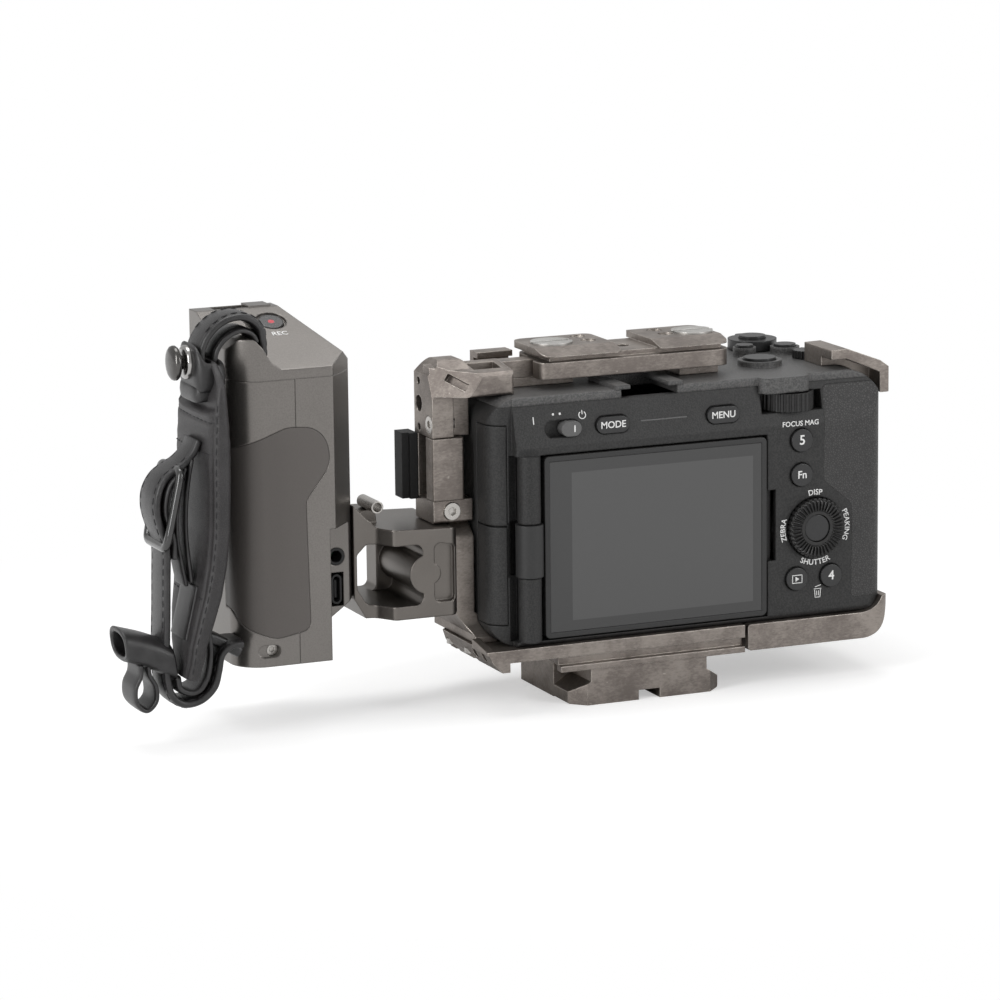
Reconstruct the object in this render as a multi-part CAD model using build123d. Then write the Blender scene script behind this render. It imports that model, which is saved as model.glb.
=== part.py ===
from build123d import *
import math
import os

# A camera cage closed round a compact cinema camera, with a side handle on an arm and a leather
# hand strap.  Millimetres, +Z up.  The origin is the middle of the dovetail foot's underside,
# +X points to the camera's grip side and +Y the way the lens looks.

# ------------------------------------------------------------------ fits
FIT = 0.10          # between pieces that are fastened to each other
RUN = 0.20          # round a button or a door that moves
SHAFT_FIT = 0.05    # radial, round a turning shaft
SOFT_GAP = 0.30     # leather stands this far off what it passes

# ------------------------------------------------------------------ foot, base and bracket
FOOT_W = 50.0
FOOT_L = 44.4
FOOT_H = 13.1
FOOT_LIP_H = 3.7            # upright edge below the dovetail's slant
FOOT_NECK_H = 5.8           # upright neck above it
FOOT_NECK_IN = 5.8          # the neck stands in by this much on each side
FOOT_NOTCH_W = 7.0
FOOT_NOTCH_H = 3.0
FOOT_NOTCH_L = 16.0
FOOT_CORNER = 4.6
FOOT_SLIDE_L = 15.2         # the dovetail is cut over this length from the back
PLATE_T = 6.7
PLATE_LEFT_OUT = 3.8        # the plate stands out beside the camera by this much
PLATE_W_RIGHT = 31.7
PLATE_FRONT = 24.0
PLATE_BACK_OUT = 1.5        # the plate stands behind the camera's back by this much
PLATE_GROOVE_H = 2.8
PLATE_GROOVE_D = 2.4
PLATE_LIP_T = 1.8
PLATE_LIP_D = 3.0
BRACKET_T = 8.2
BRACKET_SEAM = 1.1
BRACKET_LIP_H = 4.4
BRACKET_WALL = 2.0
TRIPOD_THREAD_R = 3.175
TRIPOD_HEAD_R = 7.0
TRIPOD_HEAD_H = 2.6
TRIPOD_Y = 6.0
SMALL_SCREW_R = 2.0
SMALL_HEAD_R = 3.5
SMALL_HEAD_H = 2.4
SCREW_BITE = 3.2

# ------------------------------------------------------------------ camera
CAM_LEFT = -49.5
CAM_W = 129.7
CAM_H = 75.0
CAM_BACK = -21.7
CAM_D = 47.0
CAM_WALL = 2.2
CAM_R_TOP_LEFT = 9.0
CAM_R_LOW_LEFT = 8.0
CAM_R_TOP_RIGHT = 12.0
CAM_R_LOW_RIGHT = 9.0
CAM_R_SIDE = 6.0
SIDE_STEP_W = 6.9           # the back steps forward beside the screen hinge
SIDE_STEP_D = 3.5
SLANT_DOWN = 14.8           # the upper back panel leans forward over this height
SLANT_IN = 3.1
CAM_LID_T = 2.5
GRIP_W = 33.2
GRIP_D = 29.7
GRIP_R = 11.0
GRIP_SKIN = 1.2
GRIP_EDGE = 18.0            # the leatherette's width on the back, from the right side
LENS_X = 2.2
LENS_UP = 37.2              # lens axis above the camera's underside
MOUNT_R = 31.0
MOUNT_THROAT_R = 23.0
MOUNT_T = 5.0
CAP_T = 5.5
CAP_PLUG_T = 4.0

# ------------------------------------------------------------------ screen and its hinge
KEYS_W = 40.7               # panel of keys right of the screen
LCD_H = 55.2
LCD_T = 6.0
LCD_LEFT_IN = 15.6          # from the camera's left side
LCD_UP = 2.1                # from the camera's underside
LCD_PROUD = 0.5
LCD_R = 1.6
LCD_RIM = 1.6
LCD_GLASS_T = 1.0
LCD_SHELL = 1.5
LCD_NOTCH_H = 22.0
BAY_GAP = 0.6
HINGE_IN = 11.3
HINGE_DEEP = 1.3
HINGE_R = 4.2
HINGE_POST_R = 3.5
HINGE_UP = 21.4
HINGE_LEN = 15.9

# ------------------------------------------------------------------ camera controls
BUTTON_R = 3.5
BUTTON_LEN = 4.0
BUTTON_PROUD = 0.9
PILL_W = 10.6
PILL_H = 5.0
SLIDER_W = 11.6
SLIDER_H = 5.0
KNOB_W = 6.4
SLIDER_TRAVEL = 4.4
WHEEL_R = 9.3
WHEEL_RING_R = 12.4
WHEEL_HUB_R = 5.6
WHEEL_T = 3.0
WHEEL_IN = 24.0             # from the camera's right side
WHEEL_UP = 27.8
WHEEL_KEY_R = 4.1
REAR_DIAL_R = 8.2
REAR_DIAL_T = 5.6
REAR_DIAL_IN = 30.6
REAR_DIAL_DEEP = 6.5
REAR_DIAL_DOWN = 7.9
PANEL_DOWN = 9.9            # row of keys below the camera's top
DIAL_PIN_R = 1.5
TOP_DIAL_R = 4.2
TOP_DIAL_T = 2.4
ZOOM_R = 7.7
ZOOM_T = 3.2
SHUTTER_R = 4.2
SHOE_W = 18.6
SHOE_LIP_GAP = 12.6
SHOE_H = 2.2
SHOE_LEN = 18.0
DOOR_T = 1.6
DOOR_DEEP = 14.3
DOOR_GAP = 0.3
DOOR_UP = 6.3
DOOR_DOWN = 7.9
DOOR_SPLIT_UP = 36.6

# ------------------------------------------------------------------ cage, left side and top
WALL_OUT = 7.5              # side frame's lower wall stands out from the camera by this much
WALL_GAP = 1.0              # between the side frame and the camera
COLUMN_OUT = 13.5
COLUMN_BACK = -6.2
COLUMN_D = 14.2
COLUMN_UP = 36.8
COLUMN_OVER = 10.2          # above the camera's top
CLAMP_UP = 43.6
CLAMP_H = 19.0
CLAMP_T = 5.4
BRIDGE_T = 2.7
CLAW_BACK = -12.2
CLAW_W = 14.5
CLAW_H = 5.8
COLD_SHOE_L = 11.6
COLD_SHOE_H = 5.4
COLD_SHOE_WALL = 2.7
RAIL_LEFT_IN = 20.5
RAIL_RIGHT_IN = 46.4
LEFT_HEAD_W = 26.0
RIGHT_HEAD_W = 23.4
RAIL_BACK = -9.5
RAIL_D = 26.0
RAIL_OVER = 3.0
RAIL_T = 5.0
RAIL_STEP = 3.6
SLOT_SCREW_R = 6.4
SLOT_SCREW_T = 2.4
HOOK_T = 3.0
HOOK_LEN = 18.3

# ------------------------------------------------------------------ arm
ARM_BACK = -11.2
ARM_D = 33.0
ARM_L = 31.0
ARM_UP = 9.8
ARM_H = 26.4
ARM_STEP = 7.0
ARM_NECK_L = 6.0
WINDOW_IN = 11.6            # right end of the arm's window
WINDOW_STEP = 5.2           # and how much shorter it is on the far side
ARM_WALL = 4.0
PIN_R = 1.9
ARM_RIM = 0.9               # rim of the arm's window beside the handle
ARM_POCKET_D = 2.2
PIN_L = 12.0

# ------------------------------------------------------------------ handle
HANDLE_W = 39.0
HANDLE_BACK = -12.2
HANDLE_D = 40.2
HANDLE_UP = 0.2             # above the camera's underside
HANDLE_H = 85.0
CAP_H = 16.6
CAP_SKIRT = 2.9
HANDLE_BEVEL = 8.6
HANDLE_R = 9.0
HANDLE_LOW_IN = 10.3        # the right side stands in by this much below the ports
HANDLE_WALL = 2.2
HANDLE_SPLIT = 18.6
PALM_T = 1.4
PORT_D = 8.0
PORT_UP = 10.0
PORT_H = 29.5
PORT_W = HANDLE_LOW_IN
JACK_R = 1.8
USB_W = 3.2
USB_H = 9.0
REC_R = 3.7
REC_DISH_R = 4.6
REC_DISH_D = 0.9
CELL_R = 9.0
CELL_L = 65.0
BATTERY_DOOR_T = 1.6

# ------------------------------------------------------------------ strap
PAD_W = 35.0
PAD_BACK = -24.0
NECK_W = 13.6
BAND_T = 2.4
BAND_W = 13.0
STUD_R = 5.1
KEEPER_T = 1.8

# ------------------------------------------------------------------ worked out from the sizes above
CAM_Z0 = FOOT_H + PLATE_T
CAM_Z1 = CAM_Z0 + CAM_H
CAM_RIGHT = CAM_LEFT + CAM_W
CAM_FRONT = CAM_BACK + CAM_D
PLATE_W_LEFT = PLATE_LEFT_OUT - CAM_LEFT
LENS_Z = CAM_Z0 + LENS_UP
SLANT_Z = CAM_Z1 - SLANT_DOWN
GRIP_FRONT = CAM_FRONT + GRIP_D
PLATE_BACK = CAM_BACK - PLATE_BACK_OUT
BODY_TOP = CAM_Z1 - CAM_LID_T
STEP_X = CAM_LEFT + SIDE_STEP_W
STEP_Y = CAM_BACK + SIDE_STEP_D
LCD_LEFT = CAM_LEFT + LCD_LEFT_IN
LCD_RIGHT = CAM_RIGHT - KEYS_W
LCD_BOTTOM = CAM_Z0 + LCD_UP
LCD_TOP = LCD_BOTTOM + LCD_H
LCD_FACE = CAM_BACK - LCD_PROUD
LCD_INNER = LCD_FACE + LCD_T
HINGE_X = CAM_LEFT + HINGE_IN
HINGE_Y = CAM_BACK + HINGE_DEEP
HINGE_Z0 = CAM_Z0 + HINGE_UP
HINGE_Z1 = HINGE_Z0 + HINGE_LEN
WHEEL_X = CAM_RIGHT - WHEEL_IN
WHEEL_Z = CAM_Z0 + WHEEL_UP
REAR_DIAL_X = CAM_RIGHT - REAR_DIAL_IN
REAR_DIAL_Y = CAM_BACK + REAR_DIAL_DEEP
REAR_DIAL_Z = CAM_Z1 - REAR_DIAL_DOWN
DOOR_FRONT_Y = CAM_BACK + DOOR_DEEP
WALL_X = CAM_LEFT - WALL_OUT
COLUMN_X = CAM_LEFT - COLUMN_OUT
COLUMN_Z0 = CAM_Z0 + COLUMN_UP
COLUMN_Z1 = CAM_Z1 + COLUMN_OVER
CLAMP_Z0 = CAM_Z0 + CLAMP_UP
CLAMP_Z1 = CLAMP_Z0 + CLAMP_H
RAIL_LEFT = CAM_LEFT + RAIL_LEFT_IN
RAIL_RIGHT = CAM_RIGHT - RAIL_RIGHT_IN
RAIL_Z0 = CAM_Z1 + RAIL_OVER
ARM_RIGHT = WALL_X
ARM_Z0 = CAM_Z0 + ARM_UP
HANDLE_RIGHT = ARM_RIGHT - ARM_L
HANDLE_LEFT = HANDLE_RIGHT - HANDLE_W
ARM_NECK_X = HANDLE_RIGHT + ARM_NECK_L
HANDLE_Z0 = CAM_Z0 + HANDLE_UP
HANDLE_SEAM_Z = HANDLE_Z0 + HANDLE_H
HANDLE_TOP = HANDLE_SEAM_Z + CAP_H
HANDLE_SPLIT_X = HANDLE_LEFT + HANDLE_SPLIT
PORT_Z0 = HANDLE_Z0 + PORT_UP
PORT_Z1 = PORT_Z0 + PORT_H
HANDLE_FRONT = HANDLE_BACK + HANDLE_D
PORT_Y = HANDLE_BACK + PORT_D
RAIL_Z1 = RAIL_Z0 + RAIL_T
FAR = 400.0


# ------------------------------------------------------------------ shapes
def block(x0, x1, y0, y1, z0, z1):
    """Box between two corners"""
    return Pos((x0 + x1) / 2, (y0 + y1) / 2, (z0 + z1) / 2) * Box(x1 - x0, y1 - y0, z1 - z0)


def rod(axis, x, y, z, radius, length):
    """Cylinder that starts at a point and runs along +X, +Y or +Z"""
    direction = {"x": (1, 0, 0), "y": (0, 1, 0), "z": (0, 0, 1)}[axis]
    return extrude(Plane((x, y, z), z_dir=direction) * Circle(radius), length)


def tube(axis, x, y, z, radius, bore, length):
    """Cylinder with a hole right through it"""
    return rod(axis, x, y, z, radius, length) - rod(axis, x, y, z, bore, length)


def outline(points):
    """Closed flat face from (u, v, corner radius) points"""
    corners = [(u, v) for u, v, _ in points]
    return make_face(FilletPolyline(*corners, radius=[r for _, _, r in points], close=True))


def across(axis, face, start, end):
    """Extrude a flat face along an axis; u, v are the other two axes in X, Y, Z order"""
    length = end - start
    if axis == "z":
        return extrude(Plane.XY.offset(start) * face, length)
    if axis == "x":
        return extrude(Plane((start, 0, 0), x_dir=(0, 1, 0), z_dir=(1, 0, 0)) * face, length)
    return extrude(Plane((0, end, 0), x_dir=(1, 0, 0), z_dir=(0, -1, 0)) * face, length)


def pill(axis, u, v, width, height, start, end):
    """Bar of stadium section, long along u"""
    face = Pos(u, v) * SlotOverall(width, height)
    return across(axis, face, start, end)


def cap_screw(x, y, z, direction, radius, head_r, head_h, length):
    """Socket screw whose head's seat is at the point and whose shank runs along the direction"""
    seat = Plane((x, y, z), z_dir=direction)
    shank = extrude(seat * Circle(radius), length)
    head = extrude(seat * Circle(head_r), -head_h)
    socket = extrude(seat.offset(-head_h) * RegularPolygon(head_r * 0.5, 6), head_h * 0.5)
    return shank + head - socket


def knurl(axis, x, y, z, radius, length, teeth, depth):
    """Cylinder with evenly spaced grooves round its rim"""
    wheel = rod(axis, x, y, z, radius, length)
    grooves = []
    for tooth in range(teeth):
        angle = 2 * math.pi * tooth / teeth
        u, v = radius * math.cos(angle), radius * math.sin(angle)
        spot = {"x": (x, y + u, z + v), "y": (x + u, y, z + v), "z": (x + u, y + v, z)}[axis]
        grooves.append(rod(axis, *spot, depth, length))
    return wheel - grooves


parts = {}


def keep(name, *solids):
    """File solids under a node's name"""
    parts[name] = list(solids)


# ------------------------------------------------------------------ camera casing
def camera_plan(inset):
    """The camera's outline from above, without its grip"""
    face = outline([
        (CAM_LEFT, CAM_FRONT, CAM_R_SIDE),
        (CAM_RIGHT, CAM_FRONT, CAM_R_SIDE),
        (CAM_RIGHT, CAM_BACK, CAM_R_SIDE),
        (STEP_X, CAM_BACK, 1.2),
        (STEP_X, STEP_Y, 0),
        (CAM_LEFT, STEP_Y, CAM_R_SIDE),
    ])
    return offset(face, -inset) if inset else face


def camera_front_view(inset):
    """The camera's outline from behind"""
    face = outline([
        (CAM_LEFT, CAM_Z0, CAM_R_LOW_LEFT),
        (CAM_RIGHT, CAM_Z0, CAM_R_LOW_RIGHT),
        (CAM_RIGHT, CAM_Z1, CAM_R_TOP_RIGHT),
        (CAM_LEFT, CAM_Z1, CAM_R_TOP_LEFT),
    ])
    return offset(face, -inset) if inset else face


def camera_side_view(inset):
    """The camera's outline from the side, with the leaning upper panel and the grip's nose"""
    slant_end = CAM_Z1 - CAM_LID_T
    face = outline([
        (CAM_BACK, CAM_Z0, 2.0),
        (GRIP_FRONT - 7.0, CAM_Z0, 8.0),
        (GRIP_FRONT, CAM_Z0 + 10.0, 8.0),
        (GRIP_FRONT, CAM_Z1 - 26.0, 10.0),
        (CAM_FRONT + GRIP_D * 0.5, CAM_Z1, 8.0),
        (CAM_BACK + SLANT_IN, CAM_Z1, 0.8),
        (CAM_BACK + SLANT_IN, slant_end, 0),
        (CAM_BACK, SLANT_Z, 0),
    ])
    return offset(face, -inset) if inset else face


def grip_plan(inset):
    """The grip's outline from above"""
    face = outline([
        (CAM_RIGHT - GRIP_W, CAM_BACK + 12.0, 0),
        (CAM_RIGHT, CAM_BACK + 12.0, 0),
        (CAM_RIGHT, GRIP_FRONT, GRIP_R),
        (CAM_RIGHT - GRIP_W, GRIP_FRONT, GRIP_R),
    ])
    return offset(face, -inset) if inset else face


def camera_form(inset):
    """Outer form of the camera with its grip, shrunk by an inset"""
    plan = across("z", camera_plan(inset), CAM_Z0, CAM_Z1)
    plan += across("z", grip_plan(inset), CAM_Z0, CAM_Z1)
    front = across("y", camera_front_view(inset), CAM_BACK - 1, GRIP_FRONT + 1)
    side = across("x", camera_side_view(inset), CAM_LEFT - 1, CAM_RIGHT + 1)
    return plan & front & side


form = camera_form(0)
core = camera_form(CAM_WALL)
lid_zone = block(CAM_LEFT - 5, CAM_RIGHT + 5, CAM_BACK - 5, GRIP_FRONT + 5, BODY_TOP, CAM_Z1 + 5)
skin_shell = form - camera_form(GRIP_SKIN)

# the leatherette covers the right part of the back, the right side and the grip's front
skin_left = CAM_RIGHT - GRIP_EDGE
skin_low_left = CAM_RIGHT - 11.5
skin_low = CAM_Z0 + 4.7
skin_top = BODY_TOP - 1.3
skin_view = outline([
    (skin_left - 2.5, skin_top, 2.0), (skin_left - 3.2, WHEEL_Z + 14.4, 4.0),
    (skin_low_left, WHEEL_Z + 6.4, 4.0), (skin_low_left, skin_low, 1.0),
    (CAM_RIGHT + 5, skin_low, 0), (CAM_RIGHT + 5, skin_top, 0),
])
skin_zone = across("y", skin_view, CAM_BACK - 1, CAM_BACK + 14.0)
skin_zone += block(CAM_RIGHT - GRIP_W - 1, CAM_RIGHT + 5, CAM_BACK + 14.0, GRIP_FRONT + 1, skin_low, skin_top)
grip_cover = skin_shell & skin_zone

casing = form - core - lid_zone - skin_zone.intersect(skin_shell)

# solid pads inside the wall carry the screen bay, the dial pocket and the wheel
bay = block(STEP_X - BAY_GAP, LCD_RIGHT + BAY_GAP + 2.0, CAM_BACK, LCD_INNER + BAY_GAP + 2.0,
            LCD_BOTTOM - BAY_GAP - 1.0, LCD_TOP + BAY_GAP + 1.0)
dial_pad = block(REAR_DIAL_X - 12.0, REAR_DIAL_X + 12.0, CAM_BACK, REAR_DIAL_Y + REAR_DIAL_R + 2.0,
                 REAR_DIAL_Z - REAR_DIAL_T / 2 - 3.5, BODY_TOP)
wheel_pad = rod("y", WHEEL_X, CAM_BACK, WHEEL_Z, WHEEL_RING_R + 1.0, 8.0)
key_spots = {
    "camera_button_five": (CAM_RIGHT - 28.8, CAM_Z1 - 19.7),
    "camera_button_fn": (CAM_RIGHT - 28.8, CAM_Z1 - 30.4),
    "camera_button_play": (CAM_RIGHT - 30.5, CAM_Z0 + 12.4),
    "camera_button_four": (CAM_RIGHT - 18.8, CAM_Z0 + 12.4),
}
pill_spots = {"camera_mode_button": LCD_LEFT + 22.9, "camera_menu_button": LCD_RIGHT - 14.0}
PANEL_Z = CAM_Z1 - PANEL_DOWN
slider_x = LCD_LEFT + 6.7
key_pads = [rod("y", x, CAM_BACK, z, BUTTON_R + 1.6, BUTTON_LEN) for x, z in key_spots.values()]
panel_pad = block(slider_x - 9, LCD_RIGHT - 6.5, CAM_BACK, CAM_BACK + 8.0, PANEL_Z - 4.5, PANEL_Z + 4.5)
pads = (bay + dial_pad + wheel_pad + key_pads + panel_pad) & form
casing += pads - lid_zone - skin_zone.intersect(skin_shell)

# screen bay, open to the back and to the step beside the hinge
casing -= block(STEP_X - 1, LCD_RIGHT + BAY_GAP, CAM_BACK - 2, LCD_INNER + BAY_GAP,
                LCD_BOTTOM - BAY_GAP, LCD_TOP + BAY_GAP)
notch_z = (LCD_BOTTOM + LCD_TOP) / 2
casing -= pill("y", LCD_RIGHT + 1.0, notch_z, 5.0, 4.9, CAM_BACK - 2, CAM_BACK + 2.2)
casing -= block(LCD_RIGHT, LCD_RIGHT + 3.4, CAM_BACK - 2, CAM_BACK + 2.2,
                notch_z - LCD_NOTCH_H / 2, notch_z + LCD_NOTCH_H / 2)

# fixed hinge posts above and below the turning barrel
post_back = LCD_INNER + BAY_GAP
for z0, z1 in ((LCD_BOTTOM - BAY_GAP, HINGE_Z0 - 0.3), (HINGE_Z1 + 0.3, LCD_TOP + BAY_GAP)):
    post = rod("z", HINGE_X, HINGE_Y, z0, HINGE_POST_R, z1 - z0)
    web = block(HINGE_X - 2.2, HINGE_X + 1.6, HINGE_Y, post_back + 0.2, z0, z1)
    casing += post + web
casing -= rod("z", HINGE_X, HINGE_Y, HINGE_Z0 - 4.0, DIAL_PIN_R + SHAFT_FIT, HINGE_Z1 - HINGE_Z0 + 8.0)
casing -= rod("z", HINGE_X, HINGE_Y, HINGE_Z0 - 0.3, HINGE_R + 2.2, HINGE_Z1 - HINGE_Z0 + 0.6)

# holes and pockets for the controls on the back
for x, z in key_spots.values():
    casing -= rod("y", x, CAM_BACK - 2, z, BUTTON_R + RUN, BUTTON_LEN + 14)
for x in pill_spots.values():
    casing -= pill("y", x, PANEL_Z, PILL_W + 2 * RUN, PILL_H + 2 * RUN, CAM_BACK - 2, CAM_BACK + 14)
casing -= pill("y", slider_x, PANEL_Z, SLIDER_W, SLIDER_H, CAM_BACK - 2, CAM_BACK + 3.4)
casing -= rod("y", WHEEL_X, CAM_BACK - 2, WHEEL_Z, WHEEL_R + RUN, 2 + WHEEL_T)
casing -= rod("y", WHEEL_X, CAM_BACK, WHEEL_Z, WHEEL_HUB_R + SHAFT_FIT, 12)
dial_low = REAR_DIAL_Z - REAR_DIAL_T / 2
dial_high = REAR_DIAL_Z + REAR_DIAL_T / 2
casing -= rod("z", REAR_DIAL_X, REAR_DIAL_Y, dial_low - RUN, REAR_DIAL_R + RUN, REAR_DIAL_T + 2 * RUN)
casing -= block(REAR_DIAL_X - 11.0, REAR_DIAL_X + 9.5, CAM_BACK - 4, REAR_DIAL_Y,
                dial_low - RUN, dial_high + RUN)
casing -= rod("z", REAR_DIAL_X, REAR_DIAL_Y, dial_low - 2.4, DIAL_PIN_R + SHAFT_FIT, REAR_DIAL_T + 4.4)

# port doors wrap the rear left corner and are cut out of the wall
door_shell = form - camera_form(DOOR_T)
door_split = CAM_Z0 + DOOR_SPLIT_UP
door_low = CAM_Z0 + DOOR_UP
door_high = CAM_Z1 - DOOR_DOWN
door_zones = {
    "camera_port_door_upper": (door_split + DOOR_GAP, door_high - DOOR_GAP),
    "camera_port_door_lower": (door_low + DOOR_GAP, door_split - DOOR_GAP),
}
door_edge_x = STEP_X - 1.6
for name, (z0, z1) in door_zones.items():
    keep(name, door_shell & block(CAM_LEFT - 1, door_edge_x - RUN, STEP_Y - 2, DOOR_FRONT_Y - RUN, z0, z1))
casing -= door_shell & block(CAM_LEFT - 1, door_edge_x, STEP_Y - 2, DOOR_FRONT_Y, door_low, door_high)

# lens opening, tripod thread
casing -= rod("y", LENS_X, CAM_FRONT - CAM_WALL - 1, LENS_Z, MOUNT_THROAT_R + 1.0, CAM_WALL + 2)
tripod_boss = rod("z", 0, TRIPOD_Y, CAM_Z0, TRIPOD_THREAD_R + 2.4, 7.0)
casing += tripod_boss
casing -= rod("z", 0, TRIPOD_Y, CAM_Z0 - 1, TRIPOD_THREAD_R + FIT, 7.0)
post_y = RAIL_BACK + 14.7
screw_posts = {"left": (RAIL_LEFT + 9.7, post_y), "right": (RAIL_RIGHT - 6.2, post_y)}

# ------------------------------------------------------------------ camera top plate
lid = form & block(CAM_LEFT - 5, CAM_RIGHT + 5, CAM_BACK - 5, GRIP_FRONT + 5, BODY_TOP, CAM_Z1)
thumb_lug = pill("z", REAR_DIAL_X - 3.0, REAR_DIAL_Y - 3.4, 17.0, 7.6, dial_high + 2 * RUN, CAM_Z1)
lug_x0, lug_x1 = REAR_DIAL_X - 14, REAR_DIAL_X + 12
lug_zone = block(lug_x0, lug_x1, CAM_BACK - 5, CAM_BACK + 2.5, dial_high, CAM_Z1)
lug_zone += block(lug_x0, lug_x1, CAM_BACK, REAR_DIAL_Y, BODY_TOP, CAM_Z1)
lid += thumb_lug & lug_zone
shoe_x0 = LENS_X - SHOE_W / 2
shoe_x1 = LENS_X + SHOE_W / 2
shoe_back = CAM_BACK + SLANT_IN
lid += block(shoe_x0 - 1.9, shoe_x1 + 1.9, shoe_back, shoe_back + SHOE_LEN + 2.0, CAM_Z1, CAM_Z1 + 1.2)
lid -= block(shoe_x0, shoe_x1, shoe_back - 1, shoe_back + SHOE_LEN, BODY_TOP, BODY_TOP + SHOE_H + 0.3)
lid -= block(LENS_X - SHOE_LIP_GAP / 2, LENS_X + SHOE_LIP_GAP / 2, shoe_back - 1,
             shoe_back + SHOE_LEN, BODY_TOP, CAM_Z1 + 2)
# place, radius, height above the lid and collar radius of each key on top
top_keys = {
    "camera_ring_button": (CAM_RIGHT - 31.2, CAM_BACK + 23.5, 5.0, 2.6, 6.8),
    "camera_small_button": (CAM_RIGHT - 27.9, CAM_BACK + 40.7, 2.7, 3.6, 3.6),
    "camera_assign_button": (CAM_RIGHT - 14.2, CAM_BACK + 40.1, 3.4, 3.0, 4.6),
}
for x, y, r, high, collar in top_keys.values():
    lid += rod("z", x, y, CAM_Z1, collar, high - 0.8)
    lid -= rod("z", x, y, BODY_TOP - 1, r + RUN, CAM_LID_T + high + 2)
TOP_DIAL_X, TOP_DIAL_Y = CAM_RIGHT - 12.6, CAM_BACK + 28.9
ZOOM_X, ZOOM_Y = CAM_RIGHT - 19.8, CAM_BACK + 51.7
zoom_stem_r = SHUTTER_R + 1.2
lid -= rod("z", TOP_DIAL_X, TOP_DIAL_Y, BODY_TOP, DIAL_PIN_R + SHAFT_FIT, CAM_LID_T + 1)
lid -= rod("z", ZOOM_X, ZOOM_Y, BODY_TOP - 1, zoom_stem_r + SHAFT_FIT, CAM_LID_T + 2)
for x, y in screw_posts.values():
    lid += rod("z", x, y, BODY_TOP - 8.0, 4.4, 8.0)
    lid -= rod("z", x, y, BODY_TOP - 6.5, SMALL_SCREW_R + FIT, CAM_LID_T + 8)
for x, y, r, high, collar in top_keys.values():
    casing -= rod("z", x, y, BODY_TOP - 8, r + RUN, 9)
casing -= rod("z", ZOOM_X, ZOOM_Y, BODY_TOP - 8, zoom_stem_r + RUN, 9)
casing = casing - form.intersect(lid_zone)

keep("camera_body", casing)
keep("camera_top_plate", lid)
keep("camera_grip_cover", grip_cover)

# ------------------------------------------------------------------ screen
lcd_block = across("y", outline([
    (LCD_LEFT, LCD_BOTTOM, LCD_R), (LCD_RIGHT, LCD_BOTTOM, LCD_R),
    (LCD_RIGHT, LCD_TOP, LCD_R), (LCD_LEFT, LCD_TOP, LCD_R),
]), LCD_FACE, LCD_INNER)
lcd_hollow = block(LCD_LEFT + LCD_SHELL, LCD_RIGHT - LCD_SHELL, LCD_FACE + LCD_GLASS_T + LCD_SHELL,
                   LCD_INNER - LCD_SHELL, LCD_BOTTOM + LCD_SHELL, LCD_TOP - LCD_SHELL)
glass_x0, glass_x1 = LCD_LEFT + LCD_RIM, LCD_RIGHT - LCD_RIM
glass_z0, glass_z1 = LCD_BOTTOM + LCD_RIM, LCD_TOP - LCD_RIM
glass = block(glass_x0 + FIT, glass_x1 - FIT, LCD_FACE + 0.15, LCD_FACE + LCD_GLASS_T,
              glass_z0 + FIT, glass_z1 - FIT)
glass_seat = block(glass_x0, glass_x1, LCD_FACE - 1, LCD_FACE + LCD_GLASS_T, glass_z0, glass_z1)
keep("camera_lcd_housing", lcd_block - lcd_hollow - glass_seat)
keep("camera_lcd_glass", glass)
barrel = rod("z", HINGE_X, HINGE_Y, HINGE_Z0, HINGE_R, HINGE_Z1 - HINGE_Z0)
barrel += block(HINGE_X, LCD_LEFT, HINGE_Y - 0.8, LCD_INNER - 0.6, HINGE_Z0 + 1.0, HINGE_Z1 - 1.0)
barrel += rod("z", HINGE_X, HINGE_Y, HINGE_Z0 - 3.5, DIAL_PIN_R, HINGE_Z1 - HINGE_Z0 + 7.0)
keep("camera_lcd_hinge", barrel)

# ------------------------------------------------------------------ buttons, wheel and dials
for name, (x, z) in key_spots.items():
    keep(name, rod("y", x, CAM_BACK - BUTTON_PROUD, z, BUTTON_R, BUTTON_LEN))
panel_shift = SLANT_IN * (PANEL_Z - SLANT_Z) / (BODY_TOP - SLANT_Z)
for name, x in pill_spots.items():
    face_y = CAM_BACK + panel_shift - BUTTON_PROUD
    keep(name, pill("y", x, PANEL_Z, PILL_W, PILL_H, face_y, face_y + BUTTON_LEN + 1.0))
knob_x = slider_x + SLIDER_W / 2 - KNOB_W / 2 - RUN
knob = pill("y", knob_x, PANEL_Z, KNOB_W, SLIDER_H - 2 * RUN, CAM_BACK - 0.2, CAM_BACK + 3.2)
keep("camera_power_switch", knob)
wheel = knurl("y", WHEEL_X, CAM_BACK - 1.8, WHEEL_Z, WHEEL_R, WHEEL_T + 1.6, 36, 0.35)
wheel += rod("y", WHEEL_X, CAM_BACK, WHEEL_Z, WHEEL_HUB_R, 7.6)
wheel -= rod("y", WHEEL_X, CAM_BACK - 4, WHEEL_Z, WHEEL_KEY_R + RUN, 14)
keep("camera_control_wheel", wheel)
keep("camera_wheel_button", rod("y", WHEEL_X, CAM_BACK - 1.4, WHEEL_Z, WHEEL_KEY_R, 8.0))
rear_dial = knurl("z", REAR_DIAL_X, REAR_DIAL_Y, dial_low, REAR_DIAL_R, REAR_DIAL_T, 30, 0.5)
rear_dial += rod("z", REAR_DIAL_X, REAR_DIAL_Y, dial_low - 2.0, DIAL_PIN_R, REAR_DIAL_T + 3.2)
keep("camera_rear_dial", rear_dial)
for name, (x, y, r, high, collar) in top_keys.items():
    keep(name, rod("z", x, y, BODY_TOP - 1.0, r, CAM_LID_T + 1.0 + high))
top_dial = knurl("z", TOP_DIAL_X, TOP_DIAL_Y, CAM_Z1 + RUN, TOP_DIAL_R, TOP_DIAL_T, 20, 0.4)
top_dial += rod("z", TOP_DIAL_X, TOP_DIAL_Y, BODY_TOP + 0.2, DIAL_PIN_R, CAM_LID_T)
keep("camera_top_dial", top_dial)
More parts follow.
